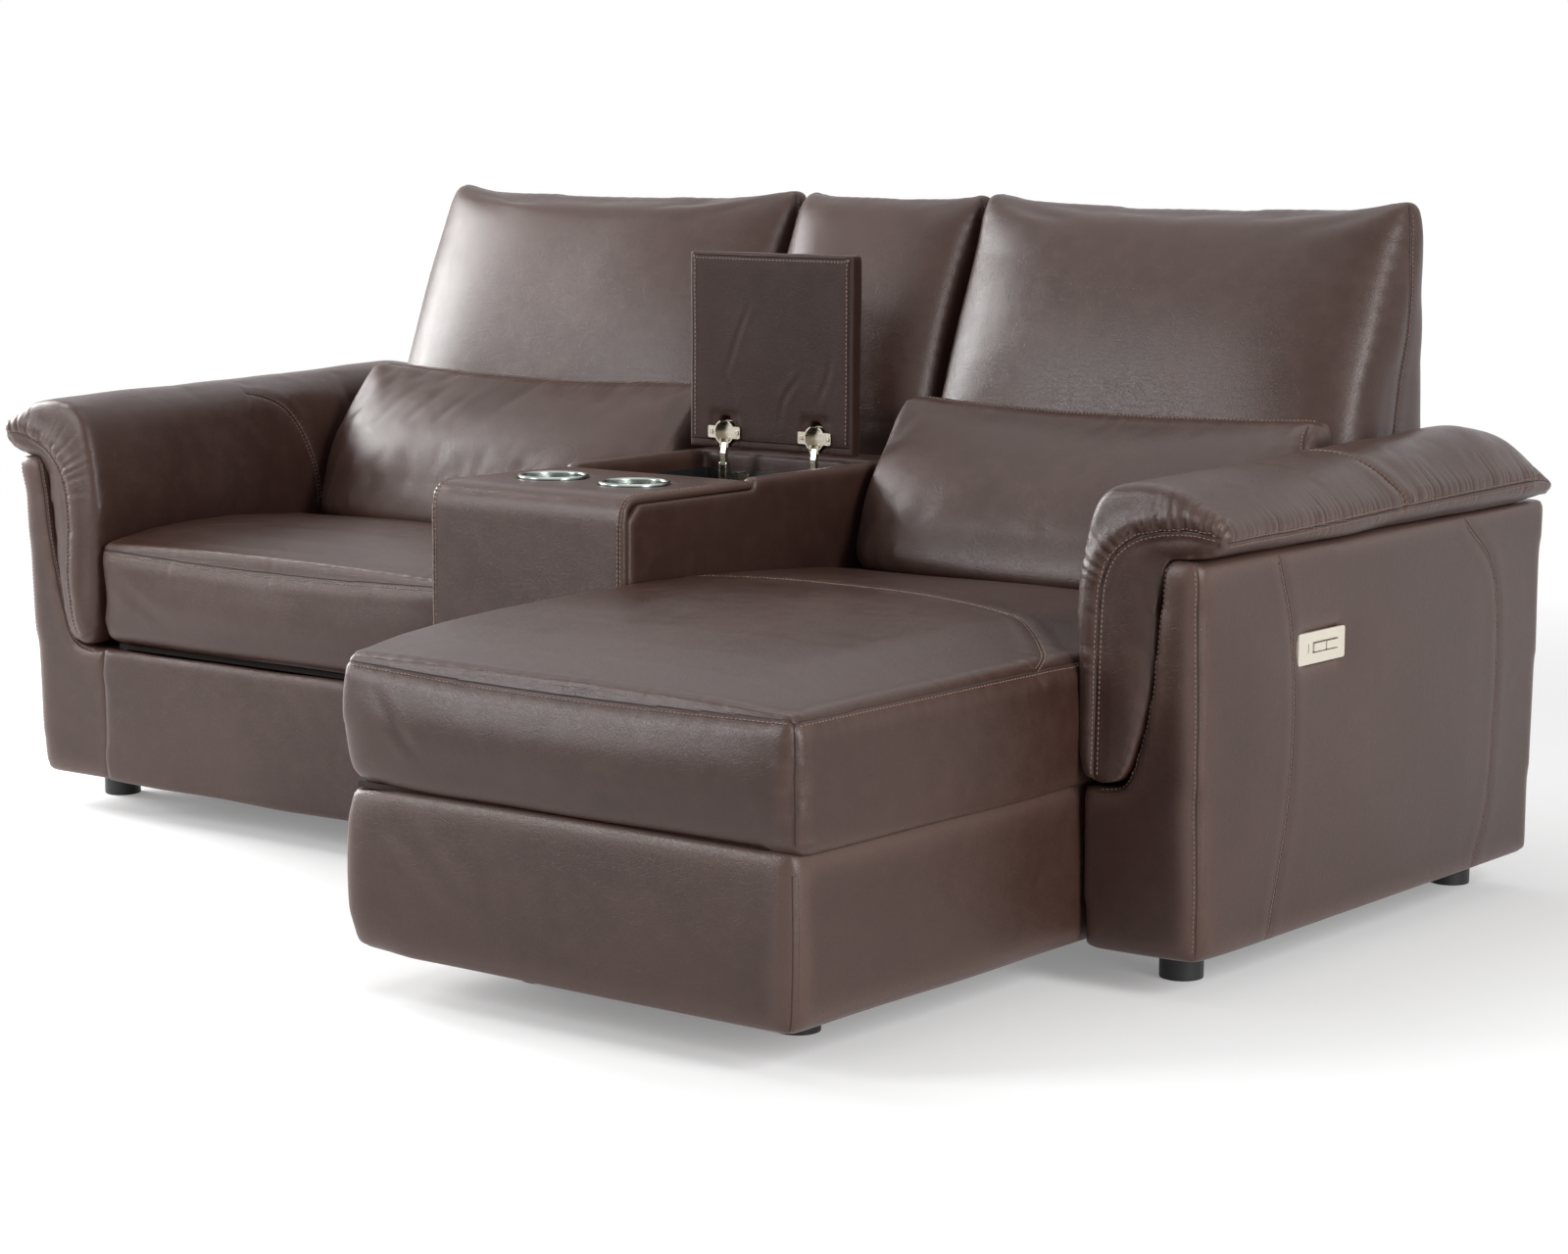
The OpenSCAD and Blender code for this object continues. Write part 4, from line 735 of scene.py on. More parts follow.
def gather(obj, seam, depth, reach, pitch, seed, face=0, start=0.0, stop=1.0):
    # folds across a seam, on the side of it that face names, over a share of its length
    off, run, mask = seam.measure(corners(obj.data), 0.09)
    value, length = folds(run, pitch, seed)
    first, last = start * seam.length[-1], stop * seam.length[-1]
    mask = mask * smooth(first - 0.02, first + 0.02, run) * (1 - smooth(last - 0.02, last + 0.02, run))
    if face:
        mask = mask * smooth(0.0, 0.003, off * face)
    far = np.abs(off)
    nudge(obj, depth * value * np.exp(-(far / (reach * length)) ** 1.7) * smooth(0.0, 0.005, far) * mask)


def ridge(obj, points, depth, width):  # a soft crease: a valley with a swell to each side
    line = Seam(obj, points, fade=0.03)
    off, run, mask = line.measure(corners(obj.data), 0.09)
    part = run / line.length[-1]
    ends = smooth(0, 0.35, part) * (1 - smooth(0.65, 1, part))
    swell = 0.55 * np.exp(-((np.abs(off) - 1.7 * width) / width) ** 2)
    nudge(obj, depth * ends * mask * (swell - np.exp(-(off / width) ** 2)))


def evenly(x0, x1, count, point):  # a row of places from x0 to x1
    return place([point(x) for x in np.linspace(x0, x1, count)])


def lump(obj, size, seed, depth):  # the unevenness of the padding
    nudge(obj, lumps(corners(obj.data), size, seed, depth))


def arch(x):  # 0 at both ends, 1 halfway
    return np.sin(math.pi * np.clip(x, 0, 1))


def farFrom(co, x, y):  # level distance from an upright line
    return np.linalg.norm(co[:, :2] - place([(x, y, 0)])[0, :2], axis=1)


topsFrom = 0.36  # the seat tops are stretched above this level

# the recliner seat: a sagging double seam under the front edge
recliner = {
    "left": -1073, "right": -354, "seamY": -3, "seamZ": 414, "sag": 9, "crown": 0.006, "lip": 0.004,
    "top": [(-4, 414), (2, 418), (34, 427), (93, 435), (174, 440), (257, 441), (330, 438), (407, 433),
            (500, 420)],
}
seat = skins["seatCushion"]
seatTop = heightLine(recliner["top"])
seatX = place([(recliner["left"], 0, 0), (recliner["right"], 0, 0)])[:, 0]


def seatSeam(x):
    share = (x - recliner["left"]) / (recliner["right"] - recliner["left"])
    return x, recliner["seamY"], recliner["seamZ"] - recliner["sag"] * math.sin(math.pi * share)


raiseTop(seat, lambda x, y: seatTop(y) + recliner["crown"] * arch((x - seatX[0]) / np.ptp(seatX)), topsFrom)
frontSeam = Seam(seat, evenly(recliner["left"], recliner["right"], 25, seatSeam))
co = corners(seat.data)
co[:, 2] -= recliner["lip"] * smooth(0.03, 0.0, co[:, 1] - co[:, 1].min()) * smooth(0.30, 0.263, co[:, 2])
setCorners(seat.data, co)
lump(seat, 0.22, 3, 0.0012)
gather(seat, frontSeam, 0.0004, 0.030, 0.034, 21)
ridge(seat, place([(-1050, 40, 440), (-960, 150, 445), (-840, 220, 446)]), 0.0012, 0.014)
ridge(seat, place([(-1060, -3, 380), (-980, -3, 335), (-900, -3, 300)]), 0.0008, 0.012)
sew(seat, [frontSeam], depth=0.0013, width=0.0034, slack=0.0004, seed=11)
stitch(seat, "sofa", frontSeam, rows=(1,), trim=0.01, row=0.0052)

# the footrest panel: nearly flat, its top edge just under the seat
footrest = {"raise": 0.0035, "lumps": 0.0010}
rest = skins["footrestPad"]
co = corners(rest.data)
co[:, 2] += footrest["raise"] * smooth(0.20, 0.25, co[:, 2])
setCorners(rest.data, co)
lump(rest, 0.22, 4, footrest["lumps"])
sew(rest, [])

# the chaise cushion: front and side seams meet at the outer corner, a curved one crosses the top
lounge = {
    "width": 700, "frontY": -563, "frontZ": 414, "sag": 9, "sideZ": 411, "crown": 0.004, "overhang": 0.015,
    "belly": 0.009,
    "top": [(-567, 412), (-546, 421), (-505, 428), (-471, 433), (-396, 440), (-293, 446), (-180, 449),
            (-103, 451), (-44, 452), (16, 452), (99, 450), (184, 447), (271, 442), (384, 434), (500, 420)],
    "cross": [(8, 100, 448), (90, 128, 450), (209, 134, 451), (378, 118, 451), (484, 95, 449), (570, 55, 444),
              (630, 10, 436), (668, -30, 428), (690, -66, 418), (699, -92, 410)],
}
chaise = skins["chaiseCushion"]
chaiseTop = heightLine(lounge["top"])
chaiseX = place([(0, 0, 0), (lounge["width"], 0, 0)])[:, 0]


def chaiseHeight(x, y):  # level to the console's side, and down to the seam on the open side
    share = min(1, max(0, (x - chaiseX[0]) / (chaiseX[1] - chaiseX[0])))
    fall = float(smooth(0.80, 1.0, share) * 0.75 + smooth(0.45, 1.0, share) * 0.15)
    level = chaiseTop(y)
    crown = lounge["crown"] * math.sin(math.pi * share)
    return level + crown - fall * max(0.0, level - lounge["frontZ"] / 1000)


def chaiseSeam(x):
    return x, lounge["frontY"], lounge["frontZ"] - lounge["sag"] * math.sin(math.pi * x / lounge["width"])


raiseTop(chaise, chaiseHeight, topsFrom)
soften(chaise, (0, -565, 262), (170, 170, 120), 30)
co, no = corners(chaise.data), directions(chaise.data)
lo, hi = co.min(0), co.max(0)
facing = np.clip(smooth(0.3, 0.9, -no[:, 1]) + smooth(0.3, 0.9, no[:, 0]), 0, 1)
nudge(chaise, lounge["belly"] * arch((co[:, 2] - lo[2]) / 0.15) * facing * smooth(0.30, 0.1, co[:, 1]))
co = corners(chaise.data)
inwards = (co[:, 1] - lo[1], hi[0] - co[:, 0], co[:, 0] - lo[0])
outer = np.clip(sum(smooth(0.06, 0.0, d) for d in inwards), 0, 1)
under = smooth(lo[2] + 0.06, lo[2], co[:, 2]) * smooth(-0.04, 0.10, farFrom(co, 0, -565))
co[:, 2] -= lounge["overhang"] * outer * under
setCorners(chaise.data, co)
chaiseFront = Seam(chaise, evenly(4, 697, 25, chaiseSeam))
chaiseSide = Seam(chaise, evenly(lounge["frontY"], 20, 20, lambda y: (698, y, lounge["sideZ"])))
chaiseCorner = Seam(chaise, evenly(408, 268, 10, lambda z: (697, -562, z)))
chaiseCross = Seam(chaise, place(lounge["cross"]))
lump(chaise, 0.30, 5, 0.0015)
gather(chaise, chaiseFront, 0.0004, 0.03, 0.04, 22)
gather(chaise, chaiseSide, 0.0004, 0.03, 0.04, 23)
ridge(chaise, place([(60, -566, 390), (110, -566, 340), (150, -566, 300)]), 0.0012, 0.010)
sew(chaise, [chaiseFront, chaiseSide], [chaiseCorner, chaiseCross],
    depth=0.0014, width=0.0034, slack=0.0004, seed=12)
for seam in (chaiseFront, chaiseSide):
    stitch(chaise, "sofa", seam, rows=(1,), trim=0.008, row=0.0052)
stitch(chaise, "sofa", chaiseCross, trim=0.008, row=0.0022)

# the chaise base: rounded corners and a slack cover
plinth = {"swell": 0.005, "seamX": 690, "rise": 0.006}
base = skins["chaiseBase"]
soften(base, (0, -557, 255), (90, 90, 45), 8)
soften(base, (0, -557, 50), (110, 110, 60), 16)
co, no = corners(base.data), directions(base.data)
turned = (smooth(0.4, 0.9, -no[:, 1]), smooth(0.4, 0.9, -no[:, 0]), 0.5 * smooth(0.4, 0.9, no[:, 0]))
outside = np.clip(sum(turned), 0, 1) * smooth(0.3, 0.0, co[:, 1])
nudge(base, plinth["swell"] * arch((co[:, 2] - 0.05) / 0.205) * outside)
baseSeam = Seam(base, evenly(238, 56, 10, lambda z: (plinth["seamX"], -556, z)))
ridge(base, place([(60, -560, 236), (150, -560, 180), (220, -560, 120)]), 0.0012, 0.014)
co = corners(base.data)
rim = smooth(0.05, 0.0, co[:, 1] - co[:, 1].min()) + smooth(0.05, 0.0, co[:, 0].max() - co[:, 0])
rim = np.clip(rim, 0, 1)
rim *= smooth(0.22, 0.262, co[:, 2]) * smooth(0.35, 0.25, co[:, 1])
co[:, 2] += plinth["rise"] * rim * smooth(-0.04, 0.10, farFrom(co, 0, -557))
setCorners(base.data, co)
lump(base, 0.24, 6, 0.0010)
sew(base, [baseSeam], depth=0.0012, width=0.0035, pillow=0.0004)

# the backs: side seams where the padded face meets the rear cover, and raised upper corners
backSeam = [(805, 952), (804, 929), (798, 882), (792, 802), (785, 735), (768, 635), (745, 560), (700, 470)]
backRoll = 0.09  # how wide the rolled sides are
backs = {
    "recliningBack": {"x": (-1087, -351), "ears": 0.006, "sag": 0.002, "side": 0.0, "crown": 0.022,
                      "edge": (0.034, 0.034), "seed": 31},
    "middleBack": {"x": (-349, -1), "ears": 0.002, "sag": -0.002, "side": 0.0, "crown": 0.012,
                   "edge": (0.020, 0.030), "seed": 32},
    "chaiseBack": {"x": (1, 712), "ears": 0.008, "sag": 0.002, "side": 0.006, "crown": 0.022,
                   "edge": (0.010, 0.036), "seed": 33},
}
for name, row in backs.items():
    back, body, seed = skins[name], pieces[name]["body"], row["seed"]
    x0, x1 = row["x"]
    lo, hi = place([(x0, 0, 0)])[0], place([(x1, 0, 0)])[0]
    co = corners(back.data)
    share = (co[:, 0] - lo[0]) / (hi[0] - lo[0])
    ends = np.exp(-(np.minimum(co[:, 0] - lo[0], hi[0] - co[:, 0]) / 0.05) ** 2)
    co[:, 2] += smooth(0.84, 0.94, co[:, 2]) * (row["ears"] * ends - row["sag"] * arch(share))
    outwards = smooth(0.70, 0.78, co[:, 2]) * smooth(0.96, 0.86, co[:, 2])
    outwards *= smooth(hi[0] - 0.08, hi[0], co[:, 0])
    co[:, 0] += row["side"] * outwards
    setCorners(back.data, co)
    levels = [z for z in np.arange(0.50, 0.95, 0.012) if (np.abs(co[:, 2] - z) < 0.008).any()]
    faceY = [co[np.abs(co[:, 2] - z) < 0.008][:, 1].min() for z in levels]
    behind = co[:, 1] - np.interp(co[:, 2], levels, faceY)
    gap = np.minimum(co[:, 0] - lo[0], hi[0] - co[:, 0])
    roll = 1 - np.sqrt(np.clip(1 - (1 - np.clip(gap / backRoll, 0, 1)) ** 2, 0, 1))
    edge = np.where(share < 0.5, *row["edge"])
    co[:, 1] += edge * roll * smooth(0.15, 0.0, behind) * smooth(0.50, 0.62, co[:, 2])
    calm = smooth(0.03, 0.0, gap) * smooth(0.60, 0.66, co[:, 2]) * smooth(0.93, 0.88, co[:, 2])
    co = relaxed(back.data, co, 24, calm)
    setCorners(back.data, co)
    face = smooth(0.35, 0.8, -directions(back.data)[:, 1])
    rise = arch((co[:, 2] - 0.62) / 0.33) ** 0.8
    nudge(back, row["crown"] * face * rise * (1 - np.abs(2 * share - 1) ** 4).clip(0, 1))
    lump(back, 0.3, seed, 0.0010)
    sides = [Seam(back, place([(x, y, z) for y, z in backSeam])) for x in (x1 - 1, x0 + 1)]
    topLine = Seam(back, evenly(x0 + 12, x1 - 12, 20, lambda x: (x, 812, 962)))
    rearLow = Seam(back, evenly(x0 + 14, x1 - 14, 16, lambda x: (x, 880, 640)), reach=0.2)
    for start, stop in ((0.0, 0.12), (0.88, 1.0)):
        gather(back, topLine, 0.0006, 0.025, 0.02, seed + 5, start=start, stop=stop)
    sew(back, sides, [topLine, rearLow], depth=0.0012, width=0.0035, pillow=0.0005, slack=0.0003, seed=seed)
    for seam in sides:
        stitch(back, body, seam, rows=(-1,), trim=0.01)
    stitch(back, body, rearLow, trim=0.01)

# the lumbar cushions: a thin sewn line along the top edge and pinched ends
lumbars = {
    "recliningLumbar": {"x": (-1069, -356), "seed": 41, "pulls": (-985, -915, -850, -790), "deep": 0.0006,
                        "sewnEnd": False},
    "chaiseLumbar": {"x": (6, 694), "seed": 42, "pulls": (60, 600), "deep": 0.0005, "sewnEnd": True},
}
lumbarFoot = 0.026  # how far the lower front edge stands out and down
lumbarFront = place([(0, 415, 0)])[0, 1]
for name, row in lumbars.items():
    cushion, body, seed = skins[name], pieces[name]["body"], row["seed"]
    x0, x1 = row["x"]
    co = corners(cushion.data)
    top, low = co[:, 2].max(), smooth(co[:, 2].min() + 0.055, co[:, 2].min(), co[:, 2])
    co[:, 1] -= lumbarFoot * low * smooth(lumbarFront + 0.09, lumbarFront + 0.02, co[:, 1])
    co[:, 2] -= lumbarFoot * low * smooth(lumbarFront + 0.10, lumbarFront + 0.03, co[:, 1])
    setCorners(cushion.data, co)
    yTop = float(np.mean(co[co[:, 2] > top - 0.006][:, 1])) * 1000 - rowShift[1]
    lump(cushion, 0.20, seed, 0.0014)
    topSeam = Seam(cushion, evenly(x0 + 6, x1 - 6, 24, lambda x: (x, yTop - 4, top * 1000)))
    endSeam = Seam(cushion, place([(x1 - 16, yTop - 26, 655), (x1 - 12, yTop - 62, 600),
                                   (x1 - 12, yTop - 80, 540), (x1 - 16, yTop - 86, 470)]))
    for x in row["pulls"]:
        lean = -50 if x - x0 < (x1 - x0) / 2 else 50
        pull = [(x, yTop - 24, 650), (x + lean * 0.5, yTop - 66, 590), (x + lean, yTop - 84, 520)]
        ridge(cushion, place(pull), row["deep"], 0.011)
    gather(cushion, topSeam, 0.0006, 0.035, 0.022, seed + 3)
    sew(cushion, [topSeam], [endSeam] if row["sewnEnd"] else [],
        depth=0.0014, width=0.0035, slack=0.0004, seed=seed)
    stitch(cushion, body, topSeam, rows=(-1,), trim=0.012)
    if row["sewnEnd"]:
        stitch(cushion, body, endSeam, rows=(1,), trim=0.006)

# the arms: a padded panel and, over it, the rolled pad that runs down the front in a J
armPanel = {
    "thick": 171, "crown": 0.0045, "switchAt": (0.105, 0.413),
    "cut": [(122, 541), (110, 490), (106, 410), (92, 340), (79, 285), (62, 261), (22, 253)],
    "edge": [(166, 541), (168, 480), (167, 380), (165, 260), (164, 150), (163, 56)],
    "sideFront": [(181, 536), (214, 440), (221, 340), (214, 220), (182, 52)],
    "sideRear": [(685, 538), (782, 436), (777, 166), (736, 56)],
}
armPad = {
    "frontLeft": [(40, 272), (50, 300), (56, 350), (55, 405), (52, 455), (58, 505), (78, 541), (110, 563),
                  (155, 578), (199, 577)],
    "frontRight": [(24, 266), (27, 290), (29, 349), (30, 409), (32, 469), (36, 511), (48, 540), (70, 562),
                   (100, 574), (140, 580), (170, 580), (199, 575)],
    "outer": [(205, 8, 566), (204, 150, 568), (202, 400, 572), (198, 700, 577), (193, 889, 581)],
    "crossLeft": [(20, 347, 642), (10, 422, 593), (8, 468, 511), (8, 480, 446)],
    "crossRight": [(60, 400, 650), (125, 420, 652), (180, 440, 612), (202, 452, 572)],
    "bulge": 0.004, "recess": 0.0040, "fill": 0.003, "sag": 0.009, "rear": 0.009,
    "folds": [  # seam, depth, reach, pitch, seed, which side of the seam, start and stop
        ("front", 0.0056, 0.044, 0.0125, 62, 1, 0.55, 1.02),
        ("front", 0.0030, 0.026, 0.046, 63, 1, 0.05, 0.60),
        ("front", 0.0016, 0.020, 0.0110, 64, -1, 0.62, 1.0),
        ("outer", 0.0030, 0.040, 0.0150, 65, 1, 0.0, 1.0),
        ("outer", 0.0014, 0.018, 0.0140, 66, -1, 0.0, 1.0),
        ("cross", 0.0010, 0.025, 0.0200, 67, 0, 0.0, 1.0)],
}
innerFace = 0.8875  # where both arms start, out from the middle of the row


def panelFront(z):
    return 18 - 26 * (z - 50) / 495


for side, name in ((-1, "leftArmPanel"), (1, "rightArmPanel")):
    panel = skins[name]
    co = corners(panel.data)
    turn = np.hypot(co[:, 0] * side - (innerFace + armPanel["thick"] / 1000),
                    co[:, 1] - (panelFront(co[:, 2] * 1000) + rowShift[1]) / 1000)
    rolled = np.exp(-(turn / 0.04) ** 2) * smooth(0.53, 0.48, co[:, 2])
    co[:, :2] = relaxed(panel.data, co, 30, rolled)[:, :2]
    setCorners(panel.data, co)
    spread = smooth(0.05, 0.2, co[:, 2]) * smooth(0.55, 0.40, co[:, 2])
    spread *= smooth(-0.19, 0.0, co[:, 1]) * smooth(0.75, 0.5, co[:, 1])
    outside = smooth(0.5, 0.9, directions(panel.data)[:, 0] * side)
    outside *= smooth(0.75, 0.85, np.abs(co[:, 0]) - 0.18)
    switchY, switchZ = armPanel["switchAt"]
    nearSwitch = np.exp(-((co[:, 1] - switchY) / 0.09) ** 2 - ((co[:, 2] - switchZ) / 0.05) ** 2)
    nudge(panel, armPanel["crown"] * spread * outside * (1 - nearSwitch))
    cut = Seam(panel, armPlace(side, [(x, panelFront(z), z) for x, z in armPanel["cut"]]))
    edge = Seam(panel, armPlace(side, [(x, panelFront(z) + 4, z) for x, z in armPanel["edge"]]))
    sideFront = Seam(panel, armPlace(side, [(171, y, z) for y, z in armPanel["sideFront"]]))
    sideRear = Seam(panel, armPlace(side, [(163, y, z) for y, z in armPanel["sideRear"]]))
    co = corners(panel.data)
    nudge(panel, lumps(co, 0.3, 51 + side, 0.0009) * (1 - np.exp(-((co[:, 1] - switchY) / 0.1) ** 2)))
    sew(panel, [edge, sideFront], [sideRear, cut], depth=0.0008, width=0.0055, pillow=0.0003)
    for seam, trim in ((edge, 0.006), (sideFront, 0.008), (sideRear, 0.008)):
        stitch(panel, "sofa", seam, rows=(side,), trim=trim, row=0.0035)
    stitch(panel, "sofa", cut, rows=(side,), trim=0.006)

for side, name, which in ((-1, "leftArmPad", "Left"), (1, "rightArmPad", "Right")):
    pad = skins[name]
    front = Seam(pad, armPlace(side, [(x, -10, z) for x, z in armPad["front" + which]]), fade=0.003)
    outer = Seam(pad, armPlace(side, armPad["outer"]))
    cross = Seam(pad, armPlace(side, armPad["cross" + which]))
    co, no = corners(pad.data), directions(pad.data)
    off, run, mask = front.measure(co, 0.07)
    rolledSide = off * side < 0  # the roll lies on one side of the seam, the flat front on the other
    facing = smooth(0.2, 0.7, -no[:, 1])
    against = smooth(0.3, 0.8, no[:, 0] * side) * smooth(-0.05, -0.12, co[:, 1])
    shift = armPad["fill"] * against * smooth(0.56, 0.53, co[:, 2])
    shift += armPad["bulge"] * np.exp(-((np.abs(off) - 0.017) / 0.014) ** 2) * rolledSide * mask
    shift -= armPad["recess"] * smooth(0.001, 0.010, np.abs(off)) * (off * side > 0) * facing * mask
    nudge(pad, shift)
    co = corners(pad.data)
    co = relaxed(pad.data, co, 16, (off * side > 0) * facing * smooth(0.57, 0.53, co[:, 2]))
    setCorners(pad.data, co)
    co = corners(pad.data)
    off, run, mask = outer.measure(co, 0.07)
    co[:, 2] -= armPad["sag"] * np.exp(-((run - 0.30) / 0.12) ** 2) * mask * np.exp(-(off / 0.03) ** 2)
    out = (co[:, 0] - armPlace(side, [(0, 0, 0)])[0, 0]) * side
    rear = smooth(0.40, 0.62, co[:, 1]) * smooth(0.0, 0.05, co[:, 2] - 0.575)
    co[:, 2] += armPad["rear"] * rear * smooth(0.02, 0.12, out)
    setCorners(pad.data, co)
    lump(pad, 0.14, 61 + side, 0.0010)
    for key, depth, reach, pitch, seed, face, start, stop in armPad["folds"]:
        seam = {"front": front, "outer": outer, "cross": cross}[key]
        gather(pad, seam, depth, reach, pitch, seed, -face * side, start, stop)
    sew(pad, [front, outer], [cross], depth=0.0022, width=0.0036, pillow=0.0010)
    stitch(pad, "sofa", front, trim=0.006)
    stitch(pad, "sofa", outer, trim=0.004)
    stitch(pad, "sofa", cross, trim=0.006, row=0.003)
print("arms sewn")

# the console: a padded cover over a boxed body, with double-sewn edges
console = {"left": -349, "right": -1, "inset": 7, "front": -32, "top": 566, "hem": 54}
cover = skins["consoleCover"]
front, top = console["front"], console["top"]
edgeLine = [(front, console["hem"]), (front, 200), (front, 380), (front, 500), (front + 4, 540),
            (front + 18, 560), (front + 44, top), (60, top), (170, top)]
coverSeams = [Seam(cover, place([(x, y, z) for y, z in edgeLine]))
              for x in (console["left"] + console["inset"], console["right"] - console["inset"])]
lump(cover, 0.2, 71, 0.0005)
sew(cover, coverSeams, depth=0.0007, width=0.0028, pillow=0.0002)
for seam in coverSeams:
    stitch(cover, "sofa", seam, trim=0.004, row=0.0022)
lump(skins["consoleBody"], 0.25, 72, 0.0005)
sew(skins["consoleBody"], [])

# the lid's leather: a sewn border, a rolled lower edge and puckers over the hinges
lidShape = {
    "left": -325, "right": -25, "face": 505, "low": 578, "high": 868, "border": 6, "turn": 6, "hem": 12,
    "hinges": (-259, -91), "ease": 0.0005, "notchEase": 0.0014, "creaseDepth": 0.0005,
    "creases": [[(-205, 812), (-236, 745), (-268, 660)], [(-110, 700), (-150, 655), (-158, 600)],
                [(-262, 690), (-246, 655), (-240, 622)], [(-62, 745), (-70, 690), (-96, 640)]],
}
lid = skins["lidLeather"]
x0, x1 = lidShape["left"] + lidShape["border"], lidShape["right"] - lidShape["border"]
low, high, turn = lidShape["low"] + 14, lidShape["high"] - lidShape["border"], lidShape["turn"]


def lidPlace(points):
    return place([(x, lidShape["face"], z) for x, z in points])


border = Seam(lid, lidPlace([(x0, low), (x0, 700), (x0, high - turn), (x0 + turn, high), (-175, high),
                             (x1 - turn, high), (x1, high - turn), (x1, 700), (x1, low)]))
hem = Seam(lid, lidPlace([(x, lidShape["low"] + lidShape["hem"]) for x in np.linspace(x0, x1, 12)]))
lump(lid, 0.09, 73, 0.0006)
gather(lid, hem, 0.0012, 0.018, 0.013, 74)
for line in lidShape["creases"]:
    ridge(lid, lidPlace(line), lidShape["creaseDepth"], 0.005)
sew(lid, [border], [hem], depth=0.0005, width=0.0022, pillow=0.0002)
co = corners(lid.data)
beside = np.min([np.abs(co[:, 0] - place([(x, 0, 0)])[0, 0]) for x in lidShape["hinges"]], axis=0)
notch = smooth(0.030, 0.022, beside) * smooth(0.640, 0.625, co[:, 2])
nudge(lid, -lidShape["ease"] - lidShape["notchEase"] * notch)
stitch(lid, "storage_lid", border, rows=(1,), trim=0.004)

for name, row in pieces.items():
    finish = "lidLeather" if name == "lidLeather" else "leather"
    finishSkin(skins[name], row["body"], row["nodes"], finish)
print("leather sewn")


def threadTree():  # beads of thread at an even pitch along every line of a mesh
    tree = bpy.data.node_groups.new("threadRows", "GeometryNodeTree")
    inputs = {"Rows": "Geometry", "Stitch pitch": "Float", "Stitch length": "Float", "Thread radius": "Float",
              "Finish": "Material"}
    sockets = {}
    for title, kind in inputs.items():
        socket = tree.interface.new_socket(title, in_out="INPUT", socket_type="NodeSocket" + kind)
        sockets[title] = socket.identifier
    tree.interface.new_socket("Stitches", in_out="OUTPUT", socket_type="NodeSocketGeometry")
    kinds = {
        "in": "NodeGroupInput", "curve": "GeometryNodeMeshToCurve", "points": "GeometryNodeCurveToPoints",
        "bead": "GeometryNodeMeshUVSphere", "half": "ShaderNodeMath", "size": "ShaderNodeCombineXYZ",
        "shape": "GeometryNodeTransform", "copies": "GeometryNodeInstanceOnPoints",
        "real": "GeometryNodeRealizeInstances", "paint": "GeometryNodeSetMaterial", "out": "NodeGroupOutput",
    }
    made = {key: tree.nodes.new(kind) for key, kind in kinds.items()}
    made["points"].mode = "LENGTH"
    made["half"].operation = "MULTIPLY"
    made["half"].inputs[1].default_value = 0.5
    for title, value in (("Segments", 6), ("Rings", 4), ("Radius", 1.0)):
        made["bead"].inputs[title].default_value = value
    links = [
        ("in", "Rows", "curve", "Mesh"), ("curve", "Curve", "points", "Curve"),
        ("in", "Stitch pitch", "points", "Length"), ("in", "Stitch length", "half", 0),
        ("in", "Thread radius", "size", "X"), ("in", "Thread radius", "size", "Y"),
        ("half", 0, "size", "Z"), ("bead", "Mesh", "shape", "Geometry"), ("size", 0, "shape", "Scale"),
        ("points", "Points", "copies", "Points"), ("shape", "Geometry", "copies", "Instance"),
        ("points", "Rotation", "copies", "Rotation"), ("copies", "Instances", "real", "Geometry"),
        ("real", "Geometry", "paint", "Geometry"), ("in", "Finish", "paint", "Material"),
        ("paint", "Geometry", "out", "Stitches"),
    ]
    for source, output, target, entry in links:
        tree.links.new(made[source].outputs[output], made[target].inputs[entry])
    return tree, sockets


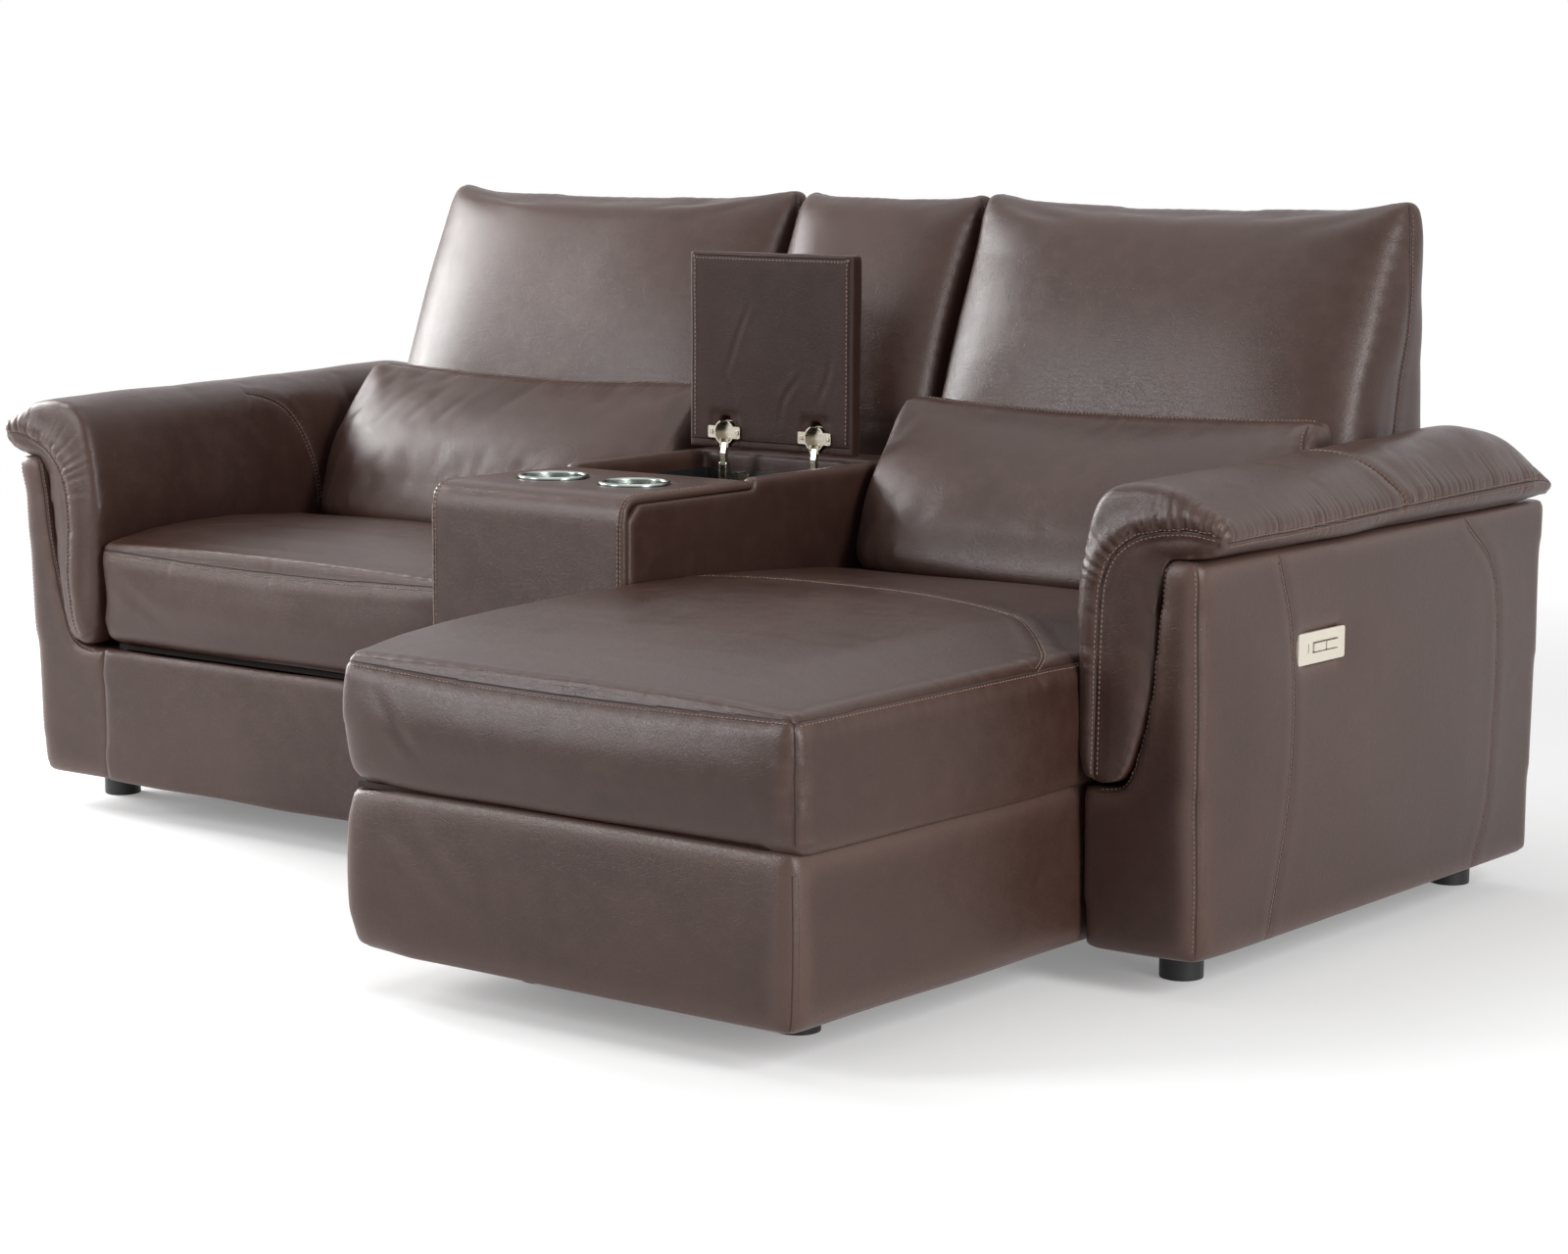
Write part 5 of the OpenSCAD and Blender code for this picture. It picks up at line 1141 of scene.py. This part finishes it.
def layThread():
    tree, sockets = threadTree()
    wanted = {"Stitch pitch": threadLook["pitch"], "Stitch length": threadLook["length"],
              "Thread radius": threadLook["radius"], "Finish": finishes["thread"]}
    for body, rows in riders.items():
        points, edges = [], []
        for row in rows:
            first = len(points)
            points += [tuple(p) for p in row]
            edges += [(first + i, first + i + 1) for i in range(len(row) - 1)]
        mesh = bpy.data.meshes.new("rows")
        mesh.from_pydata(points, edges, [])
        obj = bpy.data.objects.new("stitches_" + body, mesh)
        scene.collection.objects.link(obj)
        mod = obj.modifiers.new("threadRows", "NODES")
        mod.node_group = tree
        for title, value in wanted.items():
            mod[sockets[title]] = value
        obj.data = bake(obj)
        obj.data.shade_smooth()
        if not obj.data.materials:
            obj.data.materials.append(finishes["thread"])
        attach(obj, body)
        print("stitches on", body, len(obj.data.polygons), "faces")


layThread()

# finishes on the parts that keep their shape

finishOf = {
    "leather": ["left_rear_panel"],
    "plywood": ["left_base_inner_side"],
    "webbing": ["left_seat_deck", "chaise_deck", "left_base_outer_side", "left_footrest_board"],
    "nickel": ["lid_hinge_cups", "lid_hinge_links", "lid_hinge_arms", "lid_hinge_plates", "lid_hinge_screws",
               "lid_cup_screws"],
    "chrome": ["left_cup_holder", "right_cup_holder"],
    "brightSteel": ["footrest_motor_rod", "left_back_motor_rod", "chaise_back_motor_rod"],
    "darkSteel": ["recliner_plates", "footrest_brackets", "torque_tube", "lower_links_near",
                  "upper_links_near", "lower_links_far", "upper_links_far", "left_back_hinges",
                  "chaise_back_hinges", "motor_brackets", "connector_plates", "chaise_back_supports"],
    "blackPlastic": ["storage_bin", "footrest_motor", "left_back_motor", "chaise_back_motor", "switch_box"],
    "footPlastic": ["feet"],
    "ivory": ["switch_plate", "front_switch_key", "rear_switch_key"],
}
for finish, names in finishOf.items():
    for name in names:
        mesh = nodes[name].data
        if not len(mesh.materials):
            mesh.materials.append(finishes[finish])
        for slot in range(len(mesh.materials)):
            mesh.materials[slot] = finishes[finish]
done = {n for ns in finishOf.values() for n in ns} | {n for row in pieces.values() for n in row["nodes"]}
print("parts with no finish:", sorted(set(nodes) - done))
